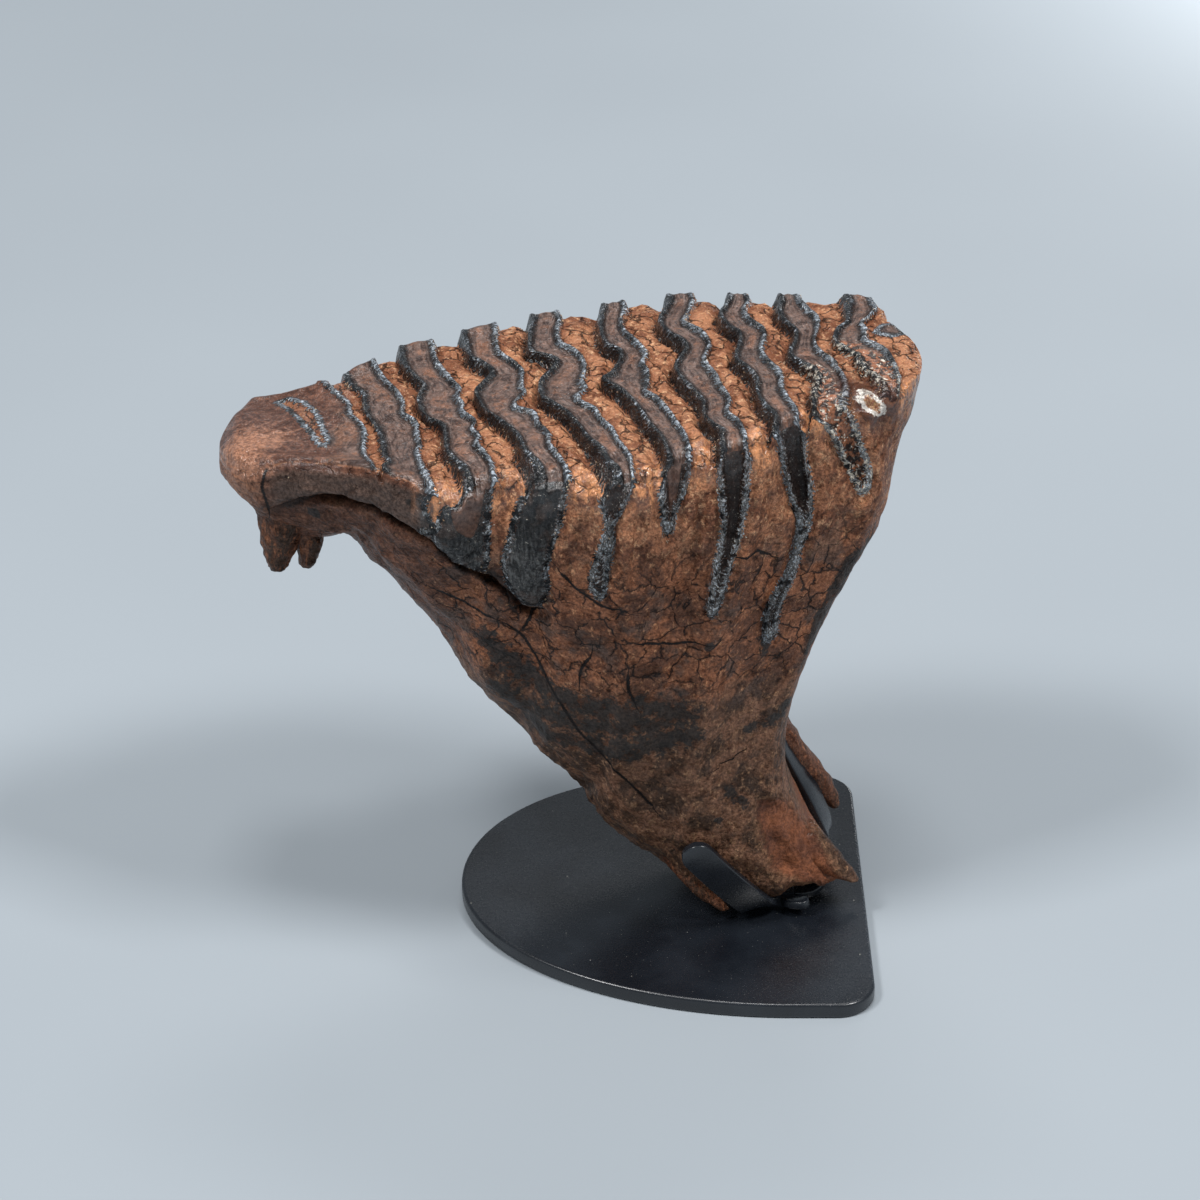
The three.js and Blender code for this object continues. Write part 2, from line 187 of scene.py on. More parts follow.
def skinFaces(layers, count):  # faces between rings of points, with a cap at each end
    faces = []
    for layer in range(layers - 1):
        low, high = layer * count, (layer + 1) * count
        faces += [(low + i, low + (i + 1) % count, high + (i + 1) % count, high + i) for i in range(count)]
    return faces + [tuple(reversed(range(count))), tuple(range((layers - 1) * count, layers * count))]


# the tooth's shape

tooth = {
    "frontX": -105, "backX": 60, "frontRound": 14, "backRound": 13,
    "noseEnd": -76,  # no plate stands in front of it
    "noseSlump": 2.4, "noseLip": 1.7, "noseBlunt": 3,
    "rimRound": 1.3, "noseRound": 5, "keelRise": 6,
    "acrossRows": 150, "nearRows": 100, "underRows": 10, "farRows": 40,
    "nearCrowding": 1.45, "farCrowding": 1.25,  # rows crowd towards the rim
    "ribOut": 1.2, "enamelFront": 0.85, "enamelBack": 0.6,
    "ledge": 2.8, "groove": 3.4, "facetDepth": 1.8, "pillarOut": 1.5,
}
crownTop = through([(-105, 129.5), (-101, 133), (-88, 134.2), (-78, 136), (-60, 138.4), (-43, 141),
                    (-10, 144.5), (4, 147), (18, 149), (42, 151), (55, 151), (60, 149.5)])
underside = through([(-105, 121), (-101, 114.5), (-96, 108), (-90, 105.5), (-83, 105.5), (-76, 107),
                     (-67, 97.5), (-58, 84), (-48.6, 67), (-39, 55), (-29, 42), (-20.7, 30.6), (-10, 19),
                     (-2, 13.5), (6, 9.5), (20, 8.8), (36, 9), (41, 12), (52, 11), (60, 13)])
backEdge = through([(5, 48), (13, 45), (20, 39.6), (32, 33.4), (42, 30), (53, 29.4), (61, 30.4),
                    (70.5, 32.6), (83, 37), (94, 41.6), (102, 46.2), (113, 51.2), (134, 55.2),
                    (140.5, 57.4), (151, 59)])
nearRim = through([(-105, 17), (-98, 20), (-88, 19), (-77, 22.4), (-69, 27.4), (-61, 34), (-51, 39),
                   (-43, 36.5), (-28, 37), (-9, 41), (4, 34), (16, 34), (29, 25), (41, 19), (53, 15),
                   (60, 13)])
farRim = through([(-105, 19), (-98, 21), (-80, 20), (-72, 26.5), (-63, 33), (-53, 34.5), (-46, 38),
                  (-33, 42), (-16, 44.5), (4, 44), (18, 40), (32, 37), (49, 35), (58, 28)])
nearFoot = through([(-105, 8), (-96, 12), (-80, 16), (-60, 18), (-20, 17), (0, 17), (40, 17), (60, 14)])
farFoot = through([(-105, 8), (-96, 12), (-80, 14), (-40, 14), (0, 14), (40, 12), (60, 9)])
drift = through([(-105, 0), (-96, 9), (-86, 16), (-74, 11.7), (-40, 10), (0, 7.5), (45, 5.5), (60, 0)])

# enamel bands in plan: place along the crown at the middle, then (y, x) from the near to the far rim
bandLines = [
    (-74.3, [(-28, -66.8), (-22, -68.6), (-17.5, -69.8), (-8.5, -69.8), (-4, -71), (1, -73.8), (7, -74.8),
             (10, -76.8), (14, -79), (18.5, -81.4), (21, -80.4)]),
    (-69.9, [(-29, -64.6), (-25.5, -63.2), (-20.5, -64.8), (-15.5, -65.4), (-9.5, -66.6), (-3.5, -69),
             (3.5, -70.8), (10.5, -71.4), (15, -74.4), (21, -76.4), (23, -78)]),
    (-62.3, [(-32, -55.2), (-27.5, -56.2), (-21.5, -57.4), (-17.5, -57), (-12, -57.8), (-6.5, -58.2),
             (-2, -61.4), (3.5, -61.6), (10, -64), (15, -66.6), (21.5, -69), (26.5, -70.2)]),
    (-55.6, [(-31, -45.8), (-28, -47.8), (-22.5, -50.4), (-15.5, -51), (-10, -52), (-7, -55.4), (-1, -57.8),
             (4.5, -58.2), (10, -57), (13, -58.4), (19, -61.2), (25, -62.6), (32, -63.6)]),
    (-48.5, [(-34.5, -40), (-30.5, -40.4), (-26, -42), (-21.5, -44), (-18, -43.4), (-14, -45.2),
             (-10.5, -44.4), (-5, -47.6), (-1.5, -47.4), (2.5, -49), (6, -48.4), (10, -50.4), (17, -53.4),
             (24, -55.4), (30, -55.8)]),
    (-40.2, [(-34, -29), (-27, -32.4), (-19.5, -34.4), (-13, -38.2), (-8.5, -41.6), (-2.5, -43.8),
             (2, -44.8), (7, -43), (13, -40.8), (18.5, -44.2), (20.5, -46.2), (28, -47.4), (35, -48.6)]),
    (-33.1, [(-37.5, -23.4), (-31.5, -25.2), (-25, -27.4), (-20, -27.6), (-15, -30), (-9.5, -31.2),
             (-7, -35.2), (-3, -34.8), (0.5, -33), (3.5, -33.8), (12, -34.2), (17, -36.6), (22.5, -39.8),
             (29, -40.8), (36.5, -41)]),
    (-25, [(-39, -11.4), (-35.5, -13.4), (-28.5, -15.6), (-24, -18.4), (-16, -21.2), (-11.5, -23.2),
           (-6.5, -26.6), (-3.5, -29.2), (4, -29.8), (10.5, -27.2), (15.5, -25.6), (18, -28), (20, -31.8),
           (25.5, -32.4), (33, -32.2), (39, -31.6)]),
    (-18.4, [(-39.5, -9), (-34, -9.2), (-27, -11.6), (-20.5, -13.2), (-15.5, -15.8), (-10.5, -17.2),
             (-7, -20.4), (-4, -21.2), (-0.5, -18.8), (4.5, -20), (9, -19.2), (14.5, -19.8), (20.5, -22),
             (24, -25.2), (30, -26.2), (38, -25.6)]),
    (-9.2, [(-33, -0.6), (-27, -1.8), (-20.5, -4.6), (-14.5, -6.2), (-5, -9.8), (-2, -12), (2, -15.2),
            (5, -13.2), (10.5, -11.4), (15, -10.6), (18, -11.2), (20.5, -14), (28, -15.2), (36, -15.2),
            (43, -14.6)]),
    (-3.5, [(-34, 4.2), (-28, 3.4), (-21.5, 1.6), (-16, -0.2), (-9, -3), (-6, -5.4), (-2, -4.8), (4, -4.6),
            (9.5, -6), (13.5, -5), (20.5, -7.2), (27.5, -10.4), (33.5, -10.8), (39.5, -9.8)]),
    (5.2, [(-32.5, 11.8), (-29, 12.2), (-26.5, 10.2), (-21.5, 8), (-14.5, 8), (-8, 5.6), (-3, 3.2),
           (3.5, 1.8), (10.5, 4), (15, 5), (19, 3), (22, 0.4), (29, -1.2), (34, 0), (40.5, 1.6)]),
    (11, [(-32, 16.8), (-26, 15.6), (-21.5, 13.2), (-15, 14), (-7.5, 12), (-2, 11), (2, 9.6), (6.5, 8.8),
          (14, 10), (21, 8.4), (26, 4.4), (32, 5.4), (39.5, 6.8)]),
    (19.2, [(-28.5, 24.2), (-24.5, 24.2), (-20.5, 22.2), (-13.5, 20.4), (-7, 20.8), (-0.5, 18.6),
            (3.5, 16.2), (10, 17), (17.5, 17.6), (21.5, 15), (27.5, 13.4), (32.5, 14.8), (37.5, 16.4)]),
    (24.7, [(-28.5, 29.4), (-23, 29), (-17.5, 27.2), (-11, 26), (-4, 26), (2.5, 23.4), (8, 22.2),
            (14.5, 23.2), (19.5, 23), (24, 20.2), (29.5, 18.8), (34.5, 20.2)]),
    (31.7, [(-25, 33.6), (-19, 32.8), (-13, 34.4), (-7, 35.4), (-3.5, 33.8), (-0.5, 31), (4, 28.8),
            (10.5, 30.6), (16.5, 31), (21, 28.8), (27, 27.6), (33.5, 28.8)]),
    (37.7, [(-21, 39.4), (-15, 40.6), (-8.5, 40.4), (-4, 39.4), (0.5, 38.2), (4.5, 35.8), (11, 34.8),
            (16, 35.8), (23, 36.2), (27.5, 34), (31.5, 32.4)]),
    (44.4, [(-14.5, 50.4), (-11.5, 49), (-7.5, 47), (-3.5, 45), (2, 44.2), (5, 42.2), (8.5, 39.9),
            (15.5, 40.6), (20, 43.6), (24, 43.8), (30.5, 45.2)]),
    (49.9, [(-13.5, 53.2), (-6, 53.2), (0, 52.4), (4.5, 51.2), (7.5, 48.8), (9.5, 46.8), (15.5, 47.2),
            (18.5, 46.4), (21.5, 48.4), (26.5, 50.6), (30, 50)]),
]
bandPlaces = np.array([place for place, _ in bandLines])
bandShapes = [through([(y, x - place + float(drift(place)) * y / 40) for y, x in line])
              for place, line in bandLines]

# closed enamel rings on the crown
noseIsland = [(-92.6, 15.1), (-89.4, 9.9), (-87, 4.2), (-85, -0.8), (-82.5, -5.6), (-81, -10.4),
              (-79.1, -12.8), (-78.4, -10.6), (-80.6, -2.4), (-82.8, 5.2), (-85.8, 11.2), (-89.9, 15.6)]
backLoop = [(49.6, 15), (51.6, 19.3), (54.9, 20.2), (57, 15), (53.8, 12.9), (51.6, 14)]

# marks on the crown's near back corner, in (x, half of y and 0.866 of z)
pillar = {"centre": (45.8, 119.7), "half": (3.3, 2.5), "lean": 0.45}
crusts = [([(33.5, 125.6), (37, 117), (41, 109), (43.8, 100.5)], 4.6),
          ([(41, 132), (47, 129), (53.5, 124)], 4.4)]

# how far each plate's front edge stands over the cement before it
cliffHeights = [0.9, 2.2, 2.6, 3, 3, 3.2, 3, 2.6, 1.6]
nearSpread = [0.2, 0.6, 2.1, 1.3, 0.5, 0.4, 0.3, 0.2, 0.2]  # how much wider its foot gets at the near rim

# plate ends on the near side: (z, x) of the front and back edges, lowest last, and what covers them
fingers = [
    {"out": 0.4, "edge": 0.1, "pale": 0.1, "front": [(141, -84), (126, -84)],
     "back": [(141, -56), (138, -55.4), (131, -54.6), (126, -51.6)]},
    {"out": 2, "edge": 0.2, "pale": 0.15,
     "front": [(145, -46), (138, -48.7), (132, -51), (124.5, -53), (122, -51.6), (118, -49),
               (114.5, -45.5)],
     "back": [(145, -39.6), (136, -40.4), (128, -41), (121, -41.2), (114.5, -42)],
     "core": {"front": [(143, -46.9), (137.7, -47.7), (132.3, -48.9), (128.6, -47.9), (125, -45.4)],
              "back": [(142.3, -40.8), (136, -41.6), (130.2, -42.6), (125, -44.2)], "foot": 125}},
    {"out": 2.6, "edge": 0.3, "pale": 0.12,
     "front": [(145, -31.4), (139, -32), (132, -34.2), (124.4, -36), (115.6, -37.6), (110.2, -36.4),
               (104.5, -32.6)],
     "back": [(144, -23.2), (138, -23.6), (130, -24.7), (122.4, -26.8), (116, -28), (111, -27.6),
              (104.5, -29.4)]},
    {"out": 1.5, "edge": 0.8, "pale": 0.5,
     "front": [(145, -17.5), (138, -16.2), (131, -14.3), (126, -15.2), (119, -17.2), (114, -17.9),
               (109.5, -16.4)],
     "back": [(145, -8.3), (139, -9.2), (134, -11.4), (131, -12.9), (126, -13), (121, -13.6), (115, -14.4),
              (109.5, -15.4)]},
    {"out": 1.1, "edge": 0.9, "pale": 0.6, "front": [(147, -2.8), (141.4, -2.5), (134.2, -2), (125.5, -1)],
     "back": [(147, 4.4), (142, 4.2), (136, 2.8), (132, 1.2), (125.5, 0)],
     "core": {"front": [(147, -1), (130, -0.6)], "back": [(147, 3), (136, 1.6), (130, 0.4)], "foot": 131}},
    {"out": 1.1, "edge": 0.9, "pale": 0.75,
     "front": [(150, 10.3), (140, 10.9), (129, 11.8), (125, 11.9), (119.7, 11.1), (111.7, 9.9), (102, 8.7)],
     "back": [(150, 17.6), (140, 17.2), (130.6, 16.7), (125, 16), (119.6, 14.7), (111.6, 12.9),
              (102, 10.6)]},
    {"out": 1.1, "edge": 0.9, "pale": 0.75,
     "front": [(150, 23.7), (140, 25.3), (129, 27.7), (122, 29.7), (116.6, 29.2), (109.6, 27.6),
               (103, 24.7), (97.4, 22.8), (89, 22.8)],
     "back": [(150, 30), (138, 31), (129.4, 32.3), (121.5, 32), (115.5, 30.6), (109, 29.4), (102, 27.2),
              (94.7, 25.4), (89, 24.6)]},
    {"out": 1, "edge": 0.9, "pale": 0.9, "front": [(150, 33.2), (141.5, 37.4), (131.8, 41.5), (126, 43.8)],
     "back": [(150, 40), (140, 43.2), (131.4, 45.8), (126, 45.6)]},
]
ribLengths = [0.22, 0.34, 0.42, 0.5, 0.44, 0.52, 0.48, 0.42, 0.3]  # the same on the far side, of its height
undercut = through([(-94, 119), (-87, 123.8), (-80, 127.4), (-74, 128.4), (-69, 128.4), (-64, 127.8),
                    (-58, 126), (-53, 123), (-47.6, 115.5), (-43, 113), (-38, 110), (-33, 103.5),
                    (-29, 103)])

# marks on the near side, in (x, z)
stainPaths = [
    ([(-42, 90), (-34.5, 81), (-25, 75.6), (-15.8, 72.8), (-6.4, 76), (4, 72)], 6.5),
    ([(-31, 69), (-22, 67), (-10, 69), (0, 70)], 5.5),
    ([(58, 147), (57.6, 140), (54.6, 131)], 2.6),
    ([(-39.4, 74), (-30, 61), (-15.8, 60), (-1.6, 64), (5, 66)], 6),
    ([(20, 63.5), (27, 64.5), (29, 68)], 2.6),
    ([(15.4, 43.5), (19, 41.4)], 2.6),
    ([(50.4, 116), (46, 108.5), (43.4, 101), (40.6, 92), (37.6, 82)], 3.4),
    ([(23.2, 92), (22.8, 86)], 2),
    ([(15.6, 46), (17, 42.5)], 2.4),
]
darkSpots = [(9.5, 92.8, 2), (13, 37.4, 1.7), (-81.6, 119.6, 2.4), (-57.9, 133.2, 1.7), (-35.5, 84, 1.5)]
cracks = [
    [(-39, 97), (-33.6, 92.3), (-30, 84.5), (-26.1, 75.7), (-20.7, 64.8), (-12.9, 54.7), (-6.4, 46.6),
     (-2, 40)],
    [(-34.3, 93.1), (-31.2, 100.4), (-28.4, 102.6), (-29.5, 106)],
    [(14.5, 118.1), (20.1, 117.4), (24.7, 113.5)],
    [(-26, 118), (-21.4, 112), (-15.8, 107.8), (-10, 106)],
    [(-17.6, 92.1), (-19.9, 86.9), (-20.9, 81.4)],
    [(-9.3, 89.3), (-9.2, 81.6), (-7, 75)],
    [(-8, 97), (2, 94), (8.5, 93.8)],
    [(-56, 104), (-47, 100), (-39, 97)],
    [(17.8, 56.8), (15.4, 54.8), (13.4, 54)],
    [(-90, 133.5), (-92.6, 131.1), (-93.4, 127), (-92.4, 121), (-93, 117)],
]
facetOutline = [(22, 41), (26, 40.6), (29.6, 38.4), (33.5, 31.9), (40.2, 20.6), (48, 8), (46, 6),
                (34.3, 15.6), (30, 17), (27, 18.6), (24.6, 27.3), (22.6, 33.4)]
backStain = {"bottom": 78, "top": 113,
             "edge": through([(79, 31.4), (83.5, 32), (92.4, 34.4), (101, 37.4), (107.8, 40),
                              (111.5, 43.6), (114, 47)])}
shelfBack = -53  # the shelf under the nose ends here, and only its groove runs on


def warp(column, y, zigzagY):
    column, y, zigzagY = np.broadcast_arrays(column, y, zigzagY)
    wiggle = np.zeros(column.shape)
    knots = np.concatenate([[-88], bandPlaces, [60]])
    for i in range(len(knots) - 1):
        chosen = (column >= knots[i]) & (column < knots[i + 1])
        if not chosen.any():
            continue
        t = (column[chosen] - knots[i]) / (knots[i + 1] - knots[i])
        first = bandShapes[i - 1](zigzagY[chosen]) if i > 0 else 0
        second = bandShapes[i](zigzagY[chosen]) if i < len(bandShapes) else 0
        wiggle[chosen] = mix(first, second, t)
    return column - drift(column) * y / 40 + wiggle


def rimY(column, rim, side):
    y = side * rim(column)
    for _ in range(8):
        y = side * rim(warp(column, y, y))
    return y


def endRound(column):
    front = clamp((column - tooth["frontX"]) / tooth["frontRound"])
    back = clamp((tooth["backX"] - column) / tooth["backRound"])
    return np.sqrt(1 - (1 - front) ** 2) * np.sqrt(1 - (1 - back) ** 2)


def endY(column, h):
    return np.where(column < 0, 0, mix(3, -8, smooth(0.15, 0.8, h)))


def edgeY(column, h, rim, foot):
    side = np.sign(rim)
    spread = mix(rim, side * foot(column), h ** 1.6) + 2 * side * np.sin(np.pi * h ** 0.6)
    blunt = mix(0.62, 0.82, smooth(-5, 15, column))
    tuck = mix(blunt, 1, np.sqrt(1 - clamp((h - 0.86) / 0.14) ** 2))
    return mix(endY(column, h), spread * tuck, endRound(column))


def noseLip(column):
    return smooth(-97, -90, column) * (1 - smooth(-68, -60, column))


def fitBack(x, z):  # the back half drawn in to the outline of the back end
    return np.where(x > 0, x * backEdge(z) / tooth["backX"], x)


def columnPlaces():
    front, back = tooth["frontX"], tooth["backX"]
    turns = np.linspace(0, np.pi / 2, 26)
    places = list(front + tooth["frontRound"] * (1 - np.cos(turns)))
    places += list(back - tooth["backRound"] * (1 - np.cos(turns[:19])))
    places += list(np.arange(-90, -76, 1.0))
    for place in bandPlaces:
        places += [place + away for away in (-1.9, -1.5, -1.15, -0.85, -0.5, -0.15, 0.2, 0.55, 0.9, 1.3,
                                             1.8)]
    places = np.unique(np.round(places, 3))
    filled = [places[0]]
    for place in places[1:]:
        gap = place - filled[-1]
        parts = max(1, math.ceil(gap / 1.15 - 0.1))
        filled += [filled[-1] + gap * (k + 1) / parts for k in range(parts)]
    keep = [filled[0]]
    for place in filled[1:]:
        if place - keep[-1] > 0.13 or place in (places[0], places[1], places[-1], places[-2]):
            keep.append(place)
    return np.array(keep)


def levelCurve():  # cement and dentine heights along the crown, without the enamel crests
    points = [(-105, 0), (-76, 0), (-75, -0.15), (-73.4, -0.6), (-71.4, -0.7)]
    for plate, cliff in enumerate(cliffHeights):
        front, back = bandPlaces[2 * plate + 1], bandPlaces[2 * plate + 2]
        points += [(front - 1.45, -0.85 * cliff), (front - 0.55, 0.1), (front + 1.3, -0.35)]
        points += [((front + back) / 2, -0.15), (back - 1.2, -0.4), (back + 0.4, 0), (back + 1.2, -0.85)]
        if plate < len(cliffHeights) - 1:
            points.append(((back + bandPlaces[2 * plate + 3]) / 2, -1.0))
    return steps(points + [(56, -0.5), (60, 0)])


levels = levelCurve()


def nearestBand(column):
    index = np.argmin(np.abs(column[..., None] - bandPlaces), axis=-1)
    sign = np.where(index % 2 == 1, 1, -1)  # a front edge has its plate behind it, a back edge before it
    return index, sign


def crumple(points, scale, octaves=3, rough=0.55):  # fractal noise at points in mm, about -1 to 1
    scaled = (np.asarray(points, float) / scale).reshape(-1, 3)
    values = [noise.fractal(Vector(p), rough * 2, 2.0, octaves) for p in scaled]
    return np.array(values).reshape(np.shape(points)[:-1])


def plateFields(column, cosine, nearness):
    index, sign = nearestBand(column)
    raw = column - bandPlaces[index]
    straight = mix(1, cosine, 1 - smooth(1.5, 3, np.abs(raw)))
    plate = np.clip((index + 1) // 2 - 1, 0, len(cliffHeights) - 1)
    spread = 1 + nearness * np.array(nearSpread)[plate] * (sign > 0)
    band = sign * raw * straight
    band = np.where(band < -0.3, -0.3 + (band + 0.3) / spread, band)
    cliff = np.where(sign > 0, np.array(cliffHeights)[plate], 0)
    return band, bandPlaces[index] + sign * band, cliff, sign, spread


def plateRelief(column, cosine, nearness, farness):  # heights of cement, dentine and enamel crests
    band, settled, cliff, sign, spread = plateFields(column, cosine, nearness)
    front = tooth["enamelFront"] * np.minimum(cliff / 2.5, 1) * np.exp(-(np.abs(band) / 0.75) ** 2.4)
    back = tooth["enamelBack"] * np.exp(-(np.abs(band) / 0.7) ** 2.4)
    crest = np.where(sign > 0, front, back) * (1 - 0.2 * farness)
    sunk = 0.55 * smooth(0.2, 1.1, band) * farness
    drop = 0.9 * (spread - 1) * smooth(-0.6, -1.4, band) * smooth(-4.4, -1.6, band)
    drop = drop + 1.3 * farness * smooth(-0.5, -1.2, band)
    return band, levels(settled) + crest + sunk - drop, cliff, sign, spread


# every field of the surface, with its value where there is nothing to mark
blankMarks = {"band": -6.0, "reach": 0.8, "core": -6.0, "crown": 0.0, "near": 1.0, "pale": 0.0, "bare": 1.0,
              "lit": 0.0, "ring": 5.0, "crust": -1.0, "along": 0.0, "stain": -1.0, "crack": 8.0,
              "facet": -6.0, "shelf": -6.0, "stump": 1.0}
partMarks = ("band", "reach", "core", "crown", "near", "pale", "bare", "lit")


def partFields(x, y, z, **marks):
    fields = {key: marks.get(key, blankMarks[key]) * np.ones(x.shape) for key in partMarks}
    return {"place": np.stack([x, y, z], -1), **fields}


def buildTooth():
    print("tooth: laying out the surface")
    column = columnPlaces()[None, :]
    end = endRound(column)
    roundness = mix(tooth["noseRound"], tooth["rimRound"], smooth(-101, -93, column)) * end
    top, low = crownTop(column), underside(column)
    rimZ = top - roundness
    slump = tooth["noseSlump"] * end * (1 - smooth(-86, -72, column))  # the nose falls away to its far side
    rise = tooth["keelRise"] * end * (1 - 0.75 * smooth(-10, 10, column))
    nearTop, farTop = rimY(column, nearRim, -1), rimY(column, farRim, 1)
    rows = {}

    # crown, far rim to near rim
    t = np.linspace(0, 1, tooth["acrossRows"], endpoint=False)[:, None]
    v = mix(1 - 2 * t, np.cos(np.pi * t), 0.3)
    half = np.where(v > 0, farTop, -nearTop)
    lip = np.maximum(1.7 * roundness, 0.5) / half
    fall = roundness * (1 - np.sqrt(1 - clamp((np.abs(v) - 1 + lip) / lip) ** 2))
    edge = np.where(v > 0, edgeY(column, 0, farTop, farFoot), edgeY(column, 0, nearTop, nearFoot))
    y = mix(endY(column, 0), edge, np.abs(v))
    x = warp(column, y, y * end)
    stepY = np.gradient(y, axis=0)
    slope = np.gradient(x, axis=0) / np.where(np.abs(stepY) < 1e-3, -1e-3, stepY)
    cosine = np.clip(1 / np.sqrt(1 + slope ** 2), 0.62, 1)
    columns = np.broadcast_to(column, x.shape)
    nearness, farness = smooth(0.55, 1, -v), smooth(0.8, 0.97, v)
    band, level, cliff, sign, _ = plateRelief(columns, cosine, nearness, farness)
    island = loopDistance(x, y, noseIsland)
    nose = columns < tooth["noseEnd"]
    band = np.where(nose, np.minimum(-island, 6), band)
    level = np.where(nose, 0.5 * np.exp(-(np.abs(band) / 0.7) ** 2), level)
    loop = loopDistance(x, y, backLoop)
    band = np.where(loop > -1.6, np.where(band > 0.9, band, loop), band)
    level = level - 0.35 * smooth(0.2, 1.2, island) + 0.3 * smooth(-1, 0.5, loop)
    z = top - fall + level * end - slump * smooth(0, 18, y)
    z = z + tooth["noseLip"] * noseLip(column) * smooth(0.66, 0.97, -v)
    scale = np.where(x > 0, backEdge(z) / tooth["backX"], 1)
    rows["crown"] = partFields(
        x * scale, y, z, band=band, reach=0.75 + 0.25 * cliff, core=6.0, crown=1.0,
        near=smooth(0.3, -0.5, v), pale=np.where(sign > 0, 0.25, 0.8), bare=0.0, lit=smooth(0.8, 0.96, -v))

    # near wall, rim to foot
    h = (np.arange(tooth["nearRows"])[:, None] / tooth["nearRows"]) ** tooth["nearCrowding"]
    cosines = np.full(column.shape, 0.85)
    rimBand, rimLevel, cliff, sign, _ = plateRelief(column, cosines, np.ones(column.shape), 0)
    rimLevel = np.where(column < tooth["noseEnd"], 0, rimLevel) * end
    down = mix(0, rimZ - low - rise, h)
    lip = noseLip(column)
    z = rimZ - down + rimLevel * (1 - smooth(0, 12, down))
    z = z + tooth["noseLip"] * lip * (1 - smooth(0, 8, down))
    y = edgeY(column, h, nearTop, nearFoot)
    x = warp(column, y, nearTop)
    x = fitBack(x, z)
    field = np.full(x.shape, -6.0)
    core = np.full(x.shape, -6.0)
    push = 0.9 * np.exp(-((down - 1) / 1.1) ** 2) * lip
    push = push + 0.8 * smooth(0.4, 5, down) * lip
    fingerPale = np.full(x.shape, 0.2)
    for finger in fingers:
        front, back = through(sorted(finger["front"])), through(sorted(finger["back"]))
        foot = min(z0 for z0, _ in finger["front"])
        inside = softMin(x - front(z), back(z) - x, (z - foot) * 0.9)
        if "core" in finger:
            window = finger["core"]
            coreFront, coreBack = through(sorted(window["front"])), through(sorted(window["back"]))
            core = np.maximum(core, softMin(x - coreFront(z), coreBack(z) - x, z - window["foot"]))
        rim = np.exp(-((inside - 0.3) / 0.8) ** 2) * finger["edge"]
        dome = np.sqrt(smooth(-0.6, mix(4.5, 0.6, smooth(0.3, 0.6, finger["edge"])), inside))
        fingerRise = (finger["out"] - 0.9 * finger["edge"] * smooth(0.6, 1.6, inside)) * dome
        push = np.maximum(push, fingerRise + 0.7 * rim)
        fingerPale = np.where(inside > field, finger["pale"], fingerPale)
        field = np.maximum(field, inside)
    bare = smooth(-56.5, -58, x)
    below = undercut(x) - z
    reach = smooth(-97, -88, x) * (1 - smooth(-33, -25, x))
    ledge = tooth["ledge"] * smooth(-0.8, 1.4, below) * (1 - smooth(10, 45, below))
    groove = tooth["groove"] * np.exp(-((below - 2) / 1.5) ** 2) * smooth(-88, -80, x)
    facet = tooth["facetDepth"] * smooth(-0.6, 2.4, loopDistance(x, z, facetOutline))
    pillars = tooth["pillarOut"] * np.exp(-(field + 3.2) ** 2 / 4)
    pillars = pillars * smooth(100, 118, z) * smooth(-36, -28, x)
    y = y - (push + pillars - reach * (ledge + groove) - facet) * end * smooth(0.5, 3, down)
    handOver = smooth(0.5, 3.5, down)
    rimBand = np.where(column < tooth["noseEnd"], 6.0, rimBand)
    rows["near"] = partFields(
        x, y, z, band=mix(rimBand, field, handOver), reach=mix(0.75 + 0.25 * cliff, 0.7, handOver),
        core=mix(6.0, core, smooth(0.4, 1.6, down)),
        crown=1 - smooth(mix(1, 0.4, bare), mix(7, 1.8, bare), down),
        pale=mix(np.where(sign > 0, 0.25, 0.8), fingerPale, handOver), bare=bare,
        lit=(1 - smooth(4, 11, down)) * (1 - bare))

    # under the keel
    t = (np.arange(tooth["underRows"]) / tooth["underRows"])[:, None]
    z = low + rise * (2 * t - 1) ** 2
    y = mix(edgeY(column, 1, nearTop, nearFoot), edgeY(column, 1, farTop, farFoot), t)
    x = warp(column, y, np.where(t < 0.5, nearTop, farTop))
    x = fitBack(x, z)
    rows["under"] = partFields(x, y, z, near=t < 0.5)

    # far wall, foot to rim
    h = (np.arange(tooth["farRows"], 0, -1)[:, None] / tooth["farRows"]) ** tooth["farCrowding"]
    farBand, farLevel, _, _, _ = plateRelief(column, np.full(column.shape, 0.9), 0, 1)
    farLevel = np.where(column < tooth["noseEnd"], 0, farLevel) * end
    down = mix(0, rimZ - low - rise, h)
    z = rimZ - down + (farLevel - slump) * (1 - smooth(0, 12, down))
    y = edgeY(column, h, farTop, farFoot)
    x = warp(column, y, farTop)
    x = fitBack(x, z)
    farBand = np.where(column < tooth["noseEnd"], -6, farBand) + 0 * x
    lengths = through([(bandPlaces[2 * p + 1], length) for p, length in enumerate(ribLengths)])
    foot = (lengths(column) - h) * (rimZ - low) * 0.6
    y = y + tooth["ribOut"] * smooth(-1.2, 0.3, farBand) * smooth(0, 0.05, h) * smooth(-9, 3, foot) * end
    rows["far"] = partFields(
        x, y, z, band=softMin(farBand, foot), core=mix(6.0, -6.0, smooth(0.4, 1.6, down)),
        crown=1 - smooth(1, 7, down), near=smooth(52, 58, column), pale=0.4,
        bare=column < tooth["noseEnd"])

    order = ("crown", "near", "under", "far")
    joined = {key: np.concatenate([rows[part][key] for part in order]) for key in rows["crown"]}
    return joined, end


# how large the surface's lumps and grains are, and how far they rise
grainSize = {"lumps": 13, "grains": 3.6, "fine": 1.4, "fibres": 3.4, "crust": 2.2, "stumps": 2.6}
grainRise = {"lumps": 0.8, "cement": 0.7, "wall": 0.45, "fineCrown": 0.2, "fineWall": 0.16, "fibres": 0.6,
             "ring": 0.7, "crust": 0.7}


